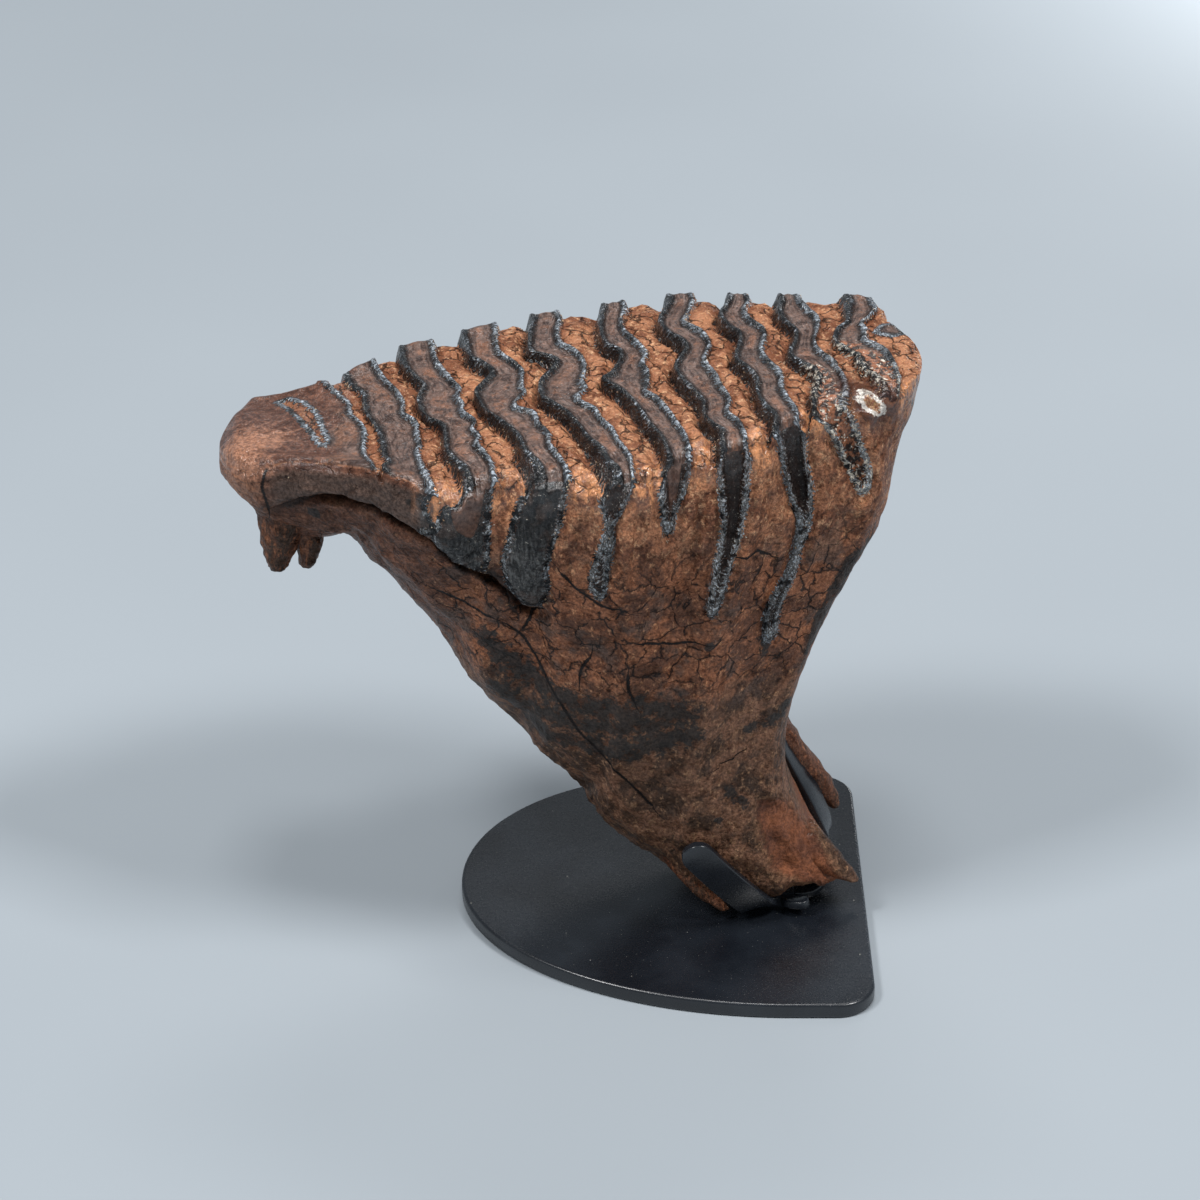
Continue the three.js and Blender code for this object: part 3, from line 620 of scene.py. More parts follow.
def roughen(field, end):
    print("tooth: roughening the surface")
    place = field["place"]
    across = np.roll(place, -1, 0) - np.roll(place, 1, 0)
    lengthwise = np.gradient(place, axis=1)
    normal = np.cross(lengthwise, across)
    size = np.linalg.norm(normal, axis=-1, keepdims=True)
    normal = normal / np.maximum(size, 1e-9)
    normal = np.where(size < 1e-6, 0, normal)
    middle = place.mean(axis=0, keepdims=True)
    outward = np.sign(np.sum(normal * (place - middle), axis=-1).mean())
    normal = normal * outward
    crown, band = field["crown"], field["band"]
    cement = smooth(0.7, 1.4, -band)
    wall = 1 - crown
    low = wall * smooth(60, 20, place[..., 2])
    lump = crumple(place + 40, grainSize["lumps"], 3)
    grain = crumple(place, grainSize["grains"], 4)
    fine = crumple(place * (1, 1, 0.6) + 90, grainSize["fine"], 2)
    fibres = crumple(place * (1, 1, 0.24) + 20, grainSize["fibres"], 3)
    rise = grainRise["lumps"] * lump * wall * (1 - 0.5 * smooth(-1, 1, band))
    cementRise, wallRise = grainRise["cement"], grainRise["wall"]
    rise += grain * (cementRise * cement * crown + wallRise * wall + wallRise * low)
    rise += fine * (grainRise["fineCrown"] * crown * (0.4 + 0.6 * cement) + grainRise["fineWall"] * wall)
    rise += grainRise["fibres"] * fibres * wall * cement * smooth(92, 118, place[..., 2])
    x, y, z = place[..., 0], place[..., 1], place[..., 2]
    slanted = y / 2 + z * 0.866
    (ringX, ringHeight), (halfX, halfHeight) = pillar["centre"], pillar["half"]
    ring = np.hypot((x - ringX) / halfX, (slanted - ringHeight + pillar["lean"] * (x - ringX)) / halfHeight)
    ring = ring + 5 * smooth(-7, 3, y)
    rise += grainRise["ring"] * np.exp(-((ring - 0.75) / 0.25) ** 2)
    crust = np.full(x.shape, -1.0)
    for points, width in crusts:
        away, _, _ = pathDistance(x, slanted, points)
        crust = np.maximum(crust, 1 - away / width)
    crust = np.where(y < 12, crust, -1.0)
    rise += grainRise["crust"] * smooth(0, 0.5, crust) * crumple(place + 7, grainSize["crust"], 3)
    field["ring"], field["crust"] = np.clip(ring, 0, 5), crust
    return place + normal * (rise * end)[..., None]


def stumpShell(stations, turn, ragged, sides=28, layers=26):
    path = np.array([place for place, _, _ in stations], float)
    sizes = np.array([(a, b) for _, a, b in stations], float)
    knots = np.linspace(0, 1, len(stations))
    curves = [through(list(zip(knots, path[:, k]))) for k in range(3)]
    widths = [through(list(zip(knots, sizes[:, k]))) for k in range(2)]
    angle = np.linspace(0, 2 * np.pi, sides, endpoint=False)[None, :]
    u = np.linspace(0, 1, layers)[:, None]
    along, out = widths[0](u) * np.cos(angle), widths[1](u) * np.sin(angle)
    shell = np.stack([curves[0](u) + along * math.cos(turn) - out * math.sin(turn),
                      curves[1](u) + along * math.sin(turn) + out * math.cos(turn),
                      curves[2](u) + 0 * angle], -1)
    centre = np.stack([curves[k](u) + 0 * angle for k in range(3)], -1)
    outward = shell - centre
    outward = outward / np.maximum(np.linalg.norm(outward, axis=-1, keepdims=True), 1e-6)
    shell = shell + outward * (ragged * crumple(shell * (1.2, 1.2, 0.5), grainSize["stumps"], 3))[..., None]
    return shell


stumps = [
    # two broken root ends under the nose
    {"turn": 0, "ragged": 1.0,
     "stations": [((-90.3, 0, 114), 6.8, 8), ((-91, -1, 108), 5.6, 6.6), ((-91.7, -1, 103.5), 4.4, 5.2),
                  ((-92.2, -2, 100), 3.2, 4), ((-92.5, -2, 97.2), 2.1, 2.4)]},
    {"turn": 0, "ragged": 0.9,
     "stations": [((-84.5, 2, 114), 5.6, 6.5), ((-84.6, 1, 108), 4.2, 5.4), ((-85, 1, 103), 3.3, 4.2),
                  ((-85.3, 0, 99.5), 2.5, 3), ((-85.6, 0, 96.6), 1.5, 1.7)]},
    # the flake along the root's lower front edge
    {"turn": 0.2, "ragged": 0.6,
     "stations": [((-2, -8, 29), 3.6, 4), ((4, -11.6, 19.5), 3.8, 3.6), ((10.4, -14.4, 12), 3.2, 2.6),
                  ((15, -15.6, 7.4), 1.2, 1)]},
    # the pointed spur below the broken face
    {"turn": 0.1, "ragged": 0.35, "marked": True,
     "stations": [((32, -7, 26), 6.4, 5), ((37.6, -8.2, 20), 5.4, 4), ((43, -8.8, 14.6), 4, 3),
                  ((47.2, -9, 11.6), 1.5, 1.3)]},
    # the rear root, behind the strap
    {"turn": 0.35, "ragged": 0.7,
     "stations": [((20, 13, 56), 5, 5), ((27, 17.5, 43), 4.2, 4.6), ((33.8, 19.6, 31), 4, 4.4),
                  ((40.2, 20.4, 22), 3.4, 3.8), ((43.8, 20.4, 15), 1.8, 2.2)]},
]


def markFields(place, near):  # masks of the marks that lie at one place of the near side
    x, z = place[..., 0], place[..., 2]
    stain = np.full(x.shape, -1.0)
    for points, width in stainPaths:
        away, _, _ = pathDistance(x, z, points)
        stain = np.maximum(stain, 1 - away / width)
    for spotX, spotZ, radius in darkSpots:
        stain = np.maximum(stain, 1.6 - 1.6 * np.hypot(x - spotX, z - spotZ) / radius)
    within = np.minimum(z - backStain["bottom"], backStain["top"] - z) / 4
    behind = np.minimum(x - backStain["edge"](z), within) / 1.2
    turnedAway = smooth(-16, 0, place[..., 1] - 15 * smooth(118, 130, z)) * smooth(24, 34, x)
    stain = np.maximum(stain, np.minimum(behind, 1)) - 3 * turnedAway
    crack = np.full(x.shape, 8.0)
    for points in cracks:
        away, along, side = pathDistance(x, z, points)
        total = sum(math.dist(p, q) for p, q in zip(points, points[1:]))
        away = away + 1.2 * smooth(total - 3, total, along) + 1.2 * smooth(3, 0, along)
        crack = np.where(np.abs(away) < np.abs(crack), away * side, crack)
    facet = loopDistance(x, z, facetOutline)
    above = z - undercut(x)
    shelf = np.where(x < shelfBack, above, -np.abs(above + 0.9) * 0.8 - 0.2)
    shelf = shelf - 8 * smooth(-34, -26, x)
    return {
        "stain": mix(-1, stain, near), "crack": mix(8, crack, near),
        "facet": mix(-6, np.clip(facet, -6, 6), near), "shelf": mix(-6, np.clip(shelf, -6, 6), near),
    }


def makeTooth():
    field, end = buildTooth()
    place = roughen(field, end)
    front = 1 - smooth(-105, -93, place[..., 0])
    fromMiddle = place[..., 2] - 124  # the nose is blunter above and below its middle
    blunt = clamp(np.where(fromMiddle > 0, fromMiddle / 17, -fromMiddle / 10)) ** 2
    place[..., 0] += tooth["noseBlunt"] * front * blunt
    rows, columns = place.shape[:2]
    step = np.linalg.norm(np.diff(place, axis=0, prepend=place[:1]), axis=-1)
    values = {key: value for key, value in field.items() if key != "place"}
    values["along"] = np.cumsum(step, axis=0)
    values.update(markFields(place, field["near"]))
    verts = [place.reshape(-1, 3)]
    index = np.arange(rows * columns).reshape(rows, columns)
    below = np.roll(index, -1, 0)
    quads = [np.stack([index[:, :-1], below[:, :-1], below[:, 1:], index[:, 1:]], -1).reshape(-1, 4)]
    flat = {key: [value.reshape(-1)] for key, value in values.items()}
    flat["stump"] = [np.zeros(rows * columns)]
    ends = []
    count = rows * columns
    for stump in stumps:
        shell = stumpShell(stump["stations"], stump["turn"], stump["ragged"])
        layers, sides = shell.shape[:2]
        ring = count + np.arange(layers * sides).reshape(layers, sides)
        beside = np.roll(ring, -1, 1)
        quads.append(np.stack([ring[:-1], beside[:-1], beside[1:], ring[1:]], -1).reshape(-1, 4))
        ends += [list(ring[0][::-1]), list(ring[-1])]
        verts.append(shell.reshape(-1, 3))
        marks = {"stump": np.zeros(layers * sides), **markFields(shell, 1.0)} if "marked" in stump else {}
        for key in flat:
            blank = np.full(layers * sides, blankMarks[key])
            flat[key].append(marks[key].reshape(-1) if key in marks else blank)
        count += layers * sides
    faces = np.concatenate(quads).tolist() + ends
    piece = meshObject("molar_surface", np.concatenate(verts) * mm, faces)
    for key, parts in flat.items():
        attribute = piece.data.attributes.new(key, "FLOAT", "POINT")
        attribute.data.foreach_set("value", np.concatenate(parts).astype(np.float32))
    faceOutwards(piece, merged=True)
    print("tooth:", len(piece.data.polygons), "faces")
    return piece


# shader shorthand

def put(tree, kind, **settings):
    node = tree.nodes.new(kind)
    for key, value in settings.items():
        setattr(node, key, value)
    return node


def treeOf(*values):  # a socket knows the tree it is in
    return next(value.id_data for value in values if isinstance(value, bpy.types.NodeSocket))


def plug(socket, value):
    if isinstance(value, bpy.types.NodeSocket):
        socket.id_data.links.new(value, socket)
    elif value is not None:
        socket.default_value = (*value, 1) if isinstance(value, tuple) and socket.type == "RGBA" else value


def calc(operation, a, b=None, c=None):
    node = put(treeOf(a, b, c), "ShaderNodeMath", operation=operation)
    for socket, value in zip(node.inputs, (a, b, c)):
        plug(socket, value)
    return node.outputs[0]


def times(first, *others):
    for other in others:
        first = calc("MULTIPLY", first, other)
    return first


def plus(a, b):
    return calc("ADD", a, b)


def timesPlus(a, b, c):  # a * b + c
    return calc("MULTIPLY_ADD", a, b, c)


def most(a, b):
    return calc("MAXIMUM", a, b)


def outside(mask):
    return calc("SUBTRACT", 1.0, mask)


def ragged(value, noisy, amount):  # a value made uneven by noise between 0 and 1
    return plus(value, timesPlus(noisy, amount, -amount / 2))


def ramp(value, low, high, fromOut=0.0, toOut=1.0):
    node = put(treeOf(value), "ShaderNodeMapRange", interpolation_type="SMOOTHSTEP")
    wanted = {"Value": value, "From Min": low, "From Max": high, "To Min": fromOut, "To Max": toOut}
    for name, setting in wanted.items():
        plug(node.inputs[name], setting)
    return node.outputs[0]


def zone(value, rising, falling):  # a mask that comes up over one stretch and goes over another
    return times(ramp(value, *rising), ramp(value, *falling))


def tint(factor, a, b, mode="MIX"):
    node = put(treeOf(factor, a, b), "ShaderNodeMix", data_type="RGBA", blend_type=mode)
    plug(node.inputs["Factor"], factor)
    plug(node.inputs["A"], a)
    plug(node.inputs["B"], b)
    return node.outputs["Result"]


def blend(factor, a, b):
    node = put(treeOf(factor, a, b), "ShaderNodeMix", data_type="FLOAT")
    for socket, value in zip(node.inputs[:1] + node.inputs[2:4], (factor, a, b)):
        plug(socket, value)
    return node.outputs[0]


def speckle(vector, size, detail=3.0, rough=0.55, bend=0.0):
    node = put(treeOf(vector), "ShaderNodeTexNoise")
    plug(node.inputs["Vector"], vector)
    wanted = {"Scale": 1 / size, "Detail": detail, "Roughness": rough, "Distortion": bend}
    for name, value in wanted.items():
        node.inputs[name].default_value = value
    return node.outputs["Fac"]


def stretched(vector, scale, shift=(0, 0, 0)):
    node = put(treeOf(vector), "ShaderNodeMapping")
    plug(node.inputs["Vector"], vector)
    node.inputs["Scale"].default_value = scale
    node.inputs["Location"].default_value = shift
    return node.outputs[0]


def field(tree, name):
    return put(tree, "ShaderNodeAttribute", attribute_name=name).outputs["Fac"]


def millimetres(tree):
    coordinates = put(tree, "ShaderNodeTexCoord")
    return stretched(coordinates.outputs["Object"], (1000, 1000, 1000))


def group(name, inputs, outputs, build):
    tree = bpy.data.node_groups.new(name, "ShaderNodeTree")
    for label, kind, value in inputs:
        socket = tree.interface.new_socket(label, in_out="INPUT", socket_type=kind)
        if value is not None:
            socket.default_value = value
    for label, kind in outputs:
        tree.interface.new_socket(label, in_out="OUTPUT", socket_type=kind)
    entry, leave = tree.nodes.new("NodeGroupInput"), tree.nodes.new("NodeGroupOutput")
    made = build({label: entry.outputs[label] for label, _, _ in inputs})
    for label, _ in outputs:
        tree.links.new(made[label], leave.inputs[label])
    return tree


def useGroup(shared, **values):
    node = put(treeOf(*values.values()), "ShaderNodeGroup", node_tree=shared)
    for label, value in values.items():
        plug(node.inputs[label], value)
    return node.outputs


def buildMottle(given):  # two tones in patches, with a third in small flecks
    patches = speckle(stretched(given["Place"], (0.12, 0.12, 0.12)), 1.0, 5, 0.65, 0.4)
    flecks = speckle(stretched(given["Place"], (1, 1, 0.7), (7, 3, 1)), 1.4, 5, 0.72)
    base = tint(ramp(patches, 0.42, 0.57), given["Dark"], given["Main"])
    fleckMask = ramp(flecks, given["Flecks"], plus(given["Flecks"], 0.15))
    return {"Colour": tint(fleckMask, base, given["Light"]), "Height": flecks}


crackNet = {"bendScale": 0.35, "bend": 3.6, "uneven": 4.0}
pleats = {"wander": 5.0, "wanderTurns": 24.0, "bother": 1.9, "botherTurns": 16.0, "loose": 1.1,
          "looseSwing": 0.9, "slant": 0.7}


def buildCracks(given):  # thin lines between uneven cells
    tree = treeOf(given["Place"])
    bentBy = put(tree, "ShaderNodeTexNoise")
    plug(bentBy.inputs["Vector"], given["Place"])
    bentBy.inputs["Scale"].default_value = crackNet["bendScale"]
    bentBy.inputs["Detail"].default_value = 4
    shift = put(tree, "ShaderNodeVectorMath", operation="MULTIPLY_ADD")
    plug(shift.inputs[0], bentBy.outputs["Color"])
    shift.inputs[1].default_value = (crackNet["bend"],) * 3
    plug(shift.inputs[2], given["Place"])
    sized = put(tree, "ShaderNodeVectorMath", operation="SCALE")
    plug(sized.inputs[0], shift.outputs[0])
    plug(sized.inputs["Scale"], given["Density"])
    cells = put(tree, "ShaderNodeTexVoronoi", feature="DISTANCE_TO_EDGE")
    plug(cells.inputs["Vector"], sized.outputs[0])
    cells.inputs["Scale"].default_value = 1
    uneven = speckle(given["Place"], crackNet["uneven"], 2)
    width = times(given["Width"], ramp(uneven, 0.38, 0.56, 0.1, 1.3))
    return {"Line": ramp(cells.outputs["Distance"], width, 0.0)}


def buildFrill(given):  # the enamel's fine pleats: a wandering edge, and light and dark across it
    wander = speckle(given["Place"], pleats["wander"], 2)
    bother = times(speckle(given["Place"], pleats["bother"], 2), pleats["botherTurns"])
    turns = timesPlus(given["Along"], calc("DIVIDE", 6.283, given["Pitch"]),
                      timesPlus(wander, pleats["wanderTurns"], bother))
    wave = calc("SINE", turns)
    loose = speckle(given["Place"], pleats["loose"], 3, 0.6)
    swing = pleats["looseSwing"]
    shift = timesPlus(wave, given["Swing"], timesPlus(loose, swing, -swing / 2))
    ridge = calc("SINE", timesPlus(given["Band"], pleats["slant"], turns))
    return {"Band": plus(given["Band"], shift), "Rib": timesPlus(ridge, 0.5, 0.5), "Loose": loose}


def buildDust(given):  # sparse pale specks of mixed size
    tree = treeOf(given["Place"])
    cells = put(tree, "ShaderNodeTexVoronoi", feature="F1")
    plug(cells.inputs["Vector"], given["Place"])
    plug(cells.inputs["Scale"], given["Density"])
    chosen = put(tree, "ShaderNodeSeparateColor")
    tree.links.new(cells.outputs["Color"], chosen.inputs[0])
    rare = ramp(chosen.outputs[0], outside(given["Amount"]), 1.0)
    size = times(rare, given["Size"])
    return {"Mask": ramp(cells.outputs["Distance"], size, times(size, 0.6))}


colour, number, vector = "NodeSocketColor", "NodeSocketFloat", "NodeSocketVector"
placeIn = ("Place", vector, None)
mottle = group(
    "mottle",
    [placeIn, *((label, colour, None) for label in ("Dark", "Main", "Light")), ("Flecks", number, 0.55)],
    [("Colour", colour), ("Height", number)], buildMottle)
crackLines = group(
    "crackLines", [placeIn, ("Density", number, 0.12), ("Width", number, 0.03)],
    [("Line", number)], buildCracks)
enamelFrill = group(
    "enamelFrill",
    [placeIn, ("Along", number, 0), ("Band", number, 0), ("Pitch", number, 1.5), ("Swing", number, 0.3)],
    [("Band", number), ("Rib", number), ("Loose", number)], buildFrill)
dustSpecks = group(
    "dustSpecks", [placeIn, ("Density", number, 0.3), ("Amount", number, 0.2), ("Size", number, 0.1)],
    [("Mask", number)], buildDust)


def startMaterial(name):
    material = bpy.data.materials.new(name)
    material.use_nodes = True
    return material, material.node_tree, material.node_tree.nodes["Principled BSDF"]


def bumped(height, distance):
    node = put(treeOf(height), "ShaderNodeBump")
    node.inputs["Distance"].default_value = distance * mm
    node.inputs["Strength"].default_value = 1.0
    plug(node.inputs["Height"], height)
    return node.outputs["Normal"]


# the tooth's finish

fossil = {
    "cementDark": (0.25, 0.094, 0.047), "cement": (0.53, 0.234, 0.121), "cementLight": (0.84, 0.48, 0.27),
    # painted light along the lit near rim
    "paintedRimLight": (0.86, 0.37, 0.16),
    "dentine": (0.042, 0.02, 0.014), "dentineGrey": (0.18, 0.112, 0.088), "furrow": (0.016, 0.007, 0.004),
    "dentineWarm": (0.26, 0.11, 0.056), "tongue": (0.1, 0.052, 0.037),
    "noseDark": (0.118, 0.048, 0.029), "noseMid": (0.25, 0.102, 0.056), "noseWarm": (0.46, 0.215, 0.125),
    # the middle enamel colour is the enamel's own pale blue-grey and, on the crests, painted highlight
    "enamel": (0.0095, 0.0105, 0.0125), "enamelBlueGreyAndGlint": (0.56, 0.63, 0.71), "enamelPale": (0.85, 0.78, 0.66),
    "enamelGrey": (0.18, 0.18, 0.175), "window": (0.024, 0.0125, 0.009),
    "wallDark": (0.172, 0.07, 0.038), "wall": (0.4, 0.156, 0.075), "wallLight": (0.74, 0.36, 0.18),
    "rootDark": (0.088, 0.047, 0.029), "root": (0.265, 0.128, 0.074), "rootLight": (0.45, 0.245, 0.135),
    "greyBrown": (0.12, 0.08, 0.064), "manganese": (0.034, 0.029, 0.026),
    "crackShade": (0.01, 0.004, 0.0025), "facet": (0.3, 0.108, 0.05), "facetDark": (0.17, 0.063, 0.034),
    "ringPale": (0.9, 0.83, 0.75), "ringHeart": (0.5, 0.28, 0.13), "ringShade": (0.075, 0.024, 0.013),
    # painted shade for hollows, then painted shade for pits and painted light for raised tops
    "shade": (0.3, 0.22, 0.18), "pitShade": (0.62, 0.58, 0.56), "proudLight": (1.4, 1.4, 1.4),
}
# sizes of the noises in mm, flecks from many to few, and (density, width) of the crack nets
texture = {
    "tiny": 0.5, "pepper": 0.8, "grain": 1.3, "small": 2.4, "broad": 3.6, "large": 9.0, "crumbly": 1.9,
    "cementFlecks": 0.51, "wallFlecks": 0.55, "rootFlecks": 0.52, "brokenFlecks": 0.5,
    "crownCracks": (0.2, 0.05), "wallCracks": (0.15, 0.045), "reliefDepth": 2.0, "varnishDepth": 0.35,
}
# where along x or up z one finish gives way to the next
borders = {
    "root": (98.0, 86.0), "warmTop": (122.0, 142.0), "netBottom": (72.0, 86.0), "netTop": (126.0, 110.0),
    "noseDentine": (-64.0, -69.0), "noseWall": (-40.0, -54.0), "noseFront": (-96.0, -88.0),
    "nose": (-72.0, -76.0), "noseLump": (-97, -9, 128), "greyFace": (133.0, 117.0),
}
gloss = {"cement": 0.45, "wall": 0.45, "dentine": 0.42, "enamel": 0.25, "facet": 0.4, "crust": 0.3,
         "varnish": 0.2, "varnishThick": 0.85, "varnishIor": 1.75, "varnishRough": 0.1, "underneath": 0.08}


def layered(colour, *layers):  # each layer is a mask and the colour that it brings, or that colour's name
    for mask, over in layers:
        colour = tint(mask, colour, fossil[over] if isinstance(over, str) else over)
    return colour


def mottled(place, dark, main, light, flecks):
    return useGroup(mottle, Place=place, Dark=fossil[dark], Main=fossil[main], Light=fossil[light],
                    Flecks=texture[flecks])["Colour"]


def crackNetwork(place, which):
    density, width = texture[which]
    return useGroup(crackLines, Place=place, Density=density, Width=width)["Line"]


def toothFinish():
    material, tree, principled = startMaterial("fossil_tooth")
    place = millimetres(tree)
    band, reach, core, crown, near, pale, bare, lit, ring, crust, along, stain, crack, facet, shelf, stump = (
        field(tree, name) for name in blankMarks)
    axes = put(tree, "ShaderNodeSeparateXYZ")
    tree.links.new(place, axes.inputs[0])
    lengthwise, height = axes.outputs["X"], axes.outputs["Z"]
    frill = useGroup(enamelFrill, Place=place, Along=along, Band=band)
    edge = frill["Band"]
    tiny = speckle(place, texture["tiny"], 3, 0.6)
    small = speckle(place, texture["small"], 5, 0.7)
    large = speckle(place, texture["large"], 4, 0.6)
    unbare = outside(bare)

    # where enamel, dentine and the plates' dark faces lie
    outer = ramp(plus(edge, reach), -0.1, 0.1)
    inner = ramp(edge, 0.92, 0.7)
    crustMask = ramp(timesPlus(small, 1.4, calc("SUBTRACT", crust, 0.7)), 0.0, 0.3)
    grain = speckle(place, texture["grain"], 5, 0.72)
    enamelBand = times(outer, inner, unbare)
    insidePlate = times(ramp(edge, 0.7, 0.92), unbare)
    coreMask = ramp(ragged(core, tiny, 0.8), -0.1, 0.15)
    skirt = times(insidePlate, outside(coreMask))
    dentineMask = times(insidePlate, coreMask)

    # cement
    cement = mottled(place, "cementDark", "cement", "cementLight", "cementFlecks")
    crownCracks = crackNetwork(place, "crownCracks")
    # the cement is darker beside each enamel crest: painted shade in the valleys
    cementColour = layered(cement, (ramp(band, -1.0, -2.8, 0.65, 0.0), "cementDark"),
                           (times(crownCracks, 0.85), "crackShade"))

    # dentine, streaked along the plates
    streakPlace = put(tree, "ShaderNodeCombineXYZ")
    for socket, value, stretch in zip(streakPlace.inputs, (band, along, lengthwise), (1.5, 0.3, 0.05)):
        plug(socket, times(value, stretch))
    streaks = speckle(streakPlace.outputs[0], 1.0, 5, 0.65)
    lump = put(tree, "ShaderNodeVectorMath", operation="DISTANCE")
    plug(lump.inputs[0], place)
    lump.inputs[1].default_value = borders["noseLump"]
    fromLump = timesPlus(small, -16.0, timesPlus(large, -14.0, lump.outputs["Value"]))
    noseColour = layered(fossil["noseDark"], (ramp(small, 0.46, 0.64, 0.0, 0.8), "noseMid"),
                         (ramp(fromLump, -2.0, -9.0, 0.0, 0.9), "noseWarm"))
    warm = times(ramp(band, 1.4, 2.4), ramp(plus(large, small), 0.98, 1.16))
    towardsNose = ramp(timesPlus(large, 20.0, lengthwise), *borders["noseDentine"])
    dentine = layered(
        fossil["dentine"], (ramp(streaks, 0.36, 0.62), "dentineGrey"), (times(warm, 0.7), "dentineWarm"),
        (ramp(band, 1.7, 0.9, 0.0, 0.75), "furrow"), (towardsNose, noseColour),
        (ramp(crown, 1.0, 0.55, 0.0, 0.8), "tongue"))

    # walls and root
    warmTop = ramp(timesPlus(large, 24.0, height), *borders["warmTop"], 0.0, 0.75)
    rootMask = ramp(timesPlus(large, 30.0, height), *borders["root"])
    rootColour = mottled(place, "rootDark", "root", "rootLight", "rootFlecks")
    wallCracks = crackNetwork(place, "wallCracks")
    wallCracks = times(wallCracks, zone(height, borders["netBottom"], borders["netTop"]))
    drawnCracks = ramp(calc("ABSOLUTE", ragged(crack, tiny, 0.8)), 0.5, 0.15)
    allCracks = most(wallCracks, drawnCracks)
    underNose = ramp(timesPlus(large, 14.0, lengthwise), *borders["noseWall"], 0.0, 0.75)
    pastNose = ramp(lengthwise, *borders["noseFront"])
    shelfMask = ramp(ragged(shelf, large, 3.0), -0.3, 0.8, 0.0, 0.9)
    stainMask = ramp(ragged(stain, small, 3.4), 0.3, 0.68)
    facetEdge = ragged(facet, small, 6.0)
    facetMask = ramp(facetEdge, -1.2, 1.4)
    facetRim = zone(facetEdge, (-1.6, -0.4), (0.6, 0.0))
    facetColour = layered(fossil["facetDark"], (ramp(large, 0.4, 0.62), "facet"))
    grooveShade = times(zone(shelf, (-4.2, -2.4), (0.3, -0.5)), pastNose, times(near, 0.85))
    wallColour = layered(
        mottled(place, "wallDark", "wall", "wallLight", "wallFlecks"),
        (ramp(large, 0.52, 0.64, 0.0, 0.8), "greyBrown"), (warmTop, cement), (rootMask, rootColour),
        (times(allCracks, 0.92), "crackShade"), (underNose, noseColour),
        (times(shelfMask, pastNose), "greyBrown"), (times(stainMask, 0.9), "manganese"),
        (times(facetRim, 0.35), "rootLight"), (facetMask, facetColour), (grooveShade, "crackShade"))

    # enamel, and the plates' faces below it
    rib, loose = frill["Rib"], frill["Loose"]
    # the crests' pale patches, glints and sparks: partly the enamel's own blue-grey, partly painted highlight
    crest = ramp(calc("ABSOLUTE", calc("SUBTRACT", edge, 0.1)), 0.85, 0.25)
    glint = times(ramp(plus(loose, times(pale, 0.3)), 0.54, 0.7), ramp(rib, 0.1, 0.8, 0.3, 1.0))
    sparks = times(ramp(rib, 0.6, 1.0), ramp(loose, 0.45, 0.6))
    broad = timesPlus(pale, 0.2, speckle(place, texture["broad"], 3))
    broad = ramp(broad, 0.52, 0.68, 0.06, 1.0)
    glint = times(most(glint, sparks), broad, times(crest, ramp(crown, 0.1, 0.9)))
    wallGrey = times(ramp(timesPlus(pale, 0.12, small), 0.48, 0.62), ramp(crown, 0.8, 0.2))
    flecks = times(ramp(tiny, 0.62, 0.67), ramp(small, 0.49, 0.58))
    enamel = layered(
        fossil["enamel"], (glint, "enamelBlueGreyAndGlint"), (wallGrey, "enamelGrey"),
        (times(wallGrey, ramp(tiny, 0.5, 0.62)), "enamelBlueGreyAndGlint"), (times(flecks, 0.85), "enamelPale"),
        (times(crustMask, ramp(loose, 0.5, 0.58, 0.0, 0.8)), "enamelPale"))
    vertical = speckle(stretched(place, (1.4, 1.4, 0.22)), 1.0, 4, 0.7)
    greyer = times(ramp(vertical, 0.36, 0.72, 0.1, 1.0), ramp(height, *borders["greyFace"], 0.15, 1.0))
    face = layered(
        fossil["enamel"], (greyer, "enamelGrey"), (ramp(large, 0.5, 0.6, 0.0, 0.6), "greyBrown"),
        (ramp(pale, 0.3, 0.5, 0.0, 0.9), "window"), (times(flecks, 0.6), "enamelPale"))

    # everything in its place
    onCement = outside(most(insidePlate, enamelBand))
    # painted light on the near rim, broken into patches by noise
    paintedRimLight = speckle(stretched(place, (0.5, 0.5, 0.16)), 1.0, 4, 0.6)
    paintedRimLight = times(lit, ramp(paintedRimLight, 0.44, 0.6, 0.0, 0.85))
    crumbMask = ramp(speckle(place, texture["crumbly"], 3, 0.6), 0.44, 0.54)
    crumbly = layered(fossil["wall"], (crumbMask, "window"), (ramp(loose, 0.58, 0.63), "enamelPale"))
    raggedRing = ragged(ring, loose, 1.0)
    ringMask = ramp(raggedRing, 1.04, 0.96)
    halo = ramp(timesPlus(large, 3.0, raggedRing), 4.6, 2.9, 0.0, 0.85)
    heart = layered(fossil["ringHeart"], (ramp(tiny, 0.45, 0.55), "cementDark"))
    broken = mottled(stretched(place, (1.5, 1.5, 0.5)), "rootDark", "wallDark", "wall", "brokenFlecks")
    shown = layered(
        tint(crown, wallColour, tint(bare, cementColour, noseColour)), (paintedRimLight, "paintedRimLight"),
        (dentineMask, dentine), (skirt, face), (times(crustMask, insidePlate, 0.85), crumbly),
        (enamelBand, enamel), (halo, "ringShade"), (ringMask, "ringPale"),
        (ramp(raggedRing, 0.66, 0.54), heart), (stump, broken),
        (times(drawnCracks, times(onCement, near)), "crackShade"))

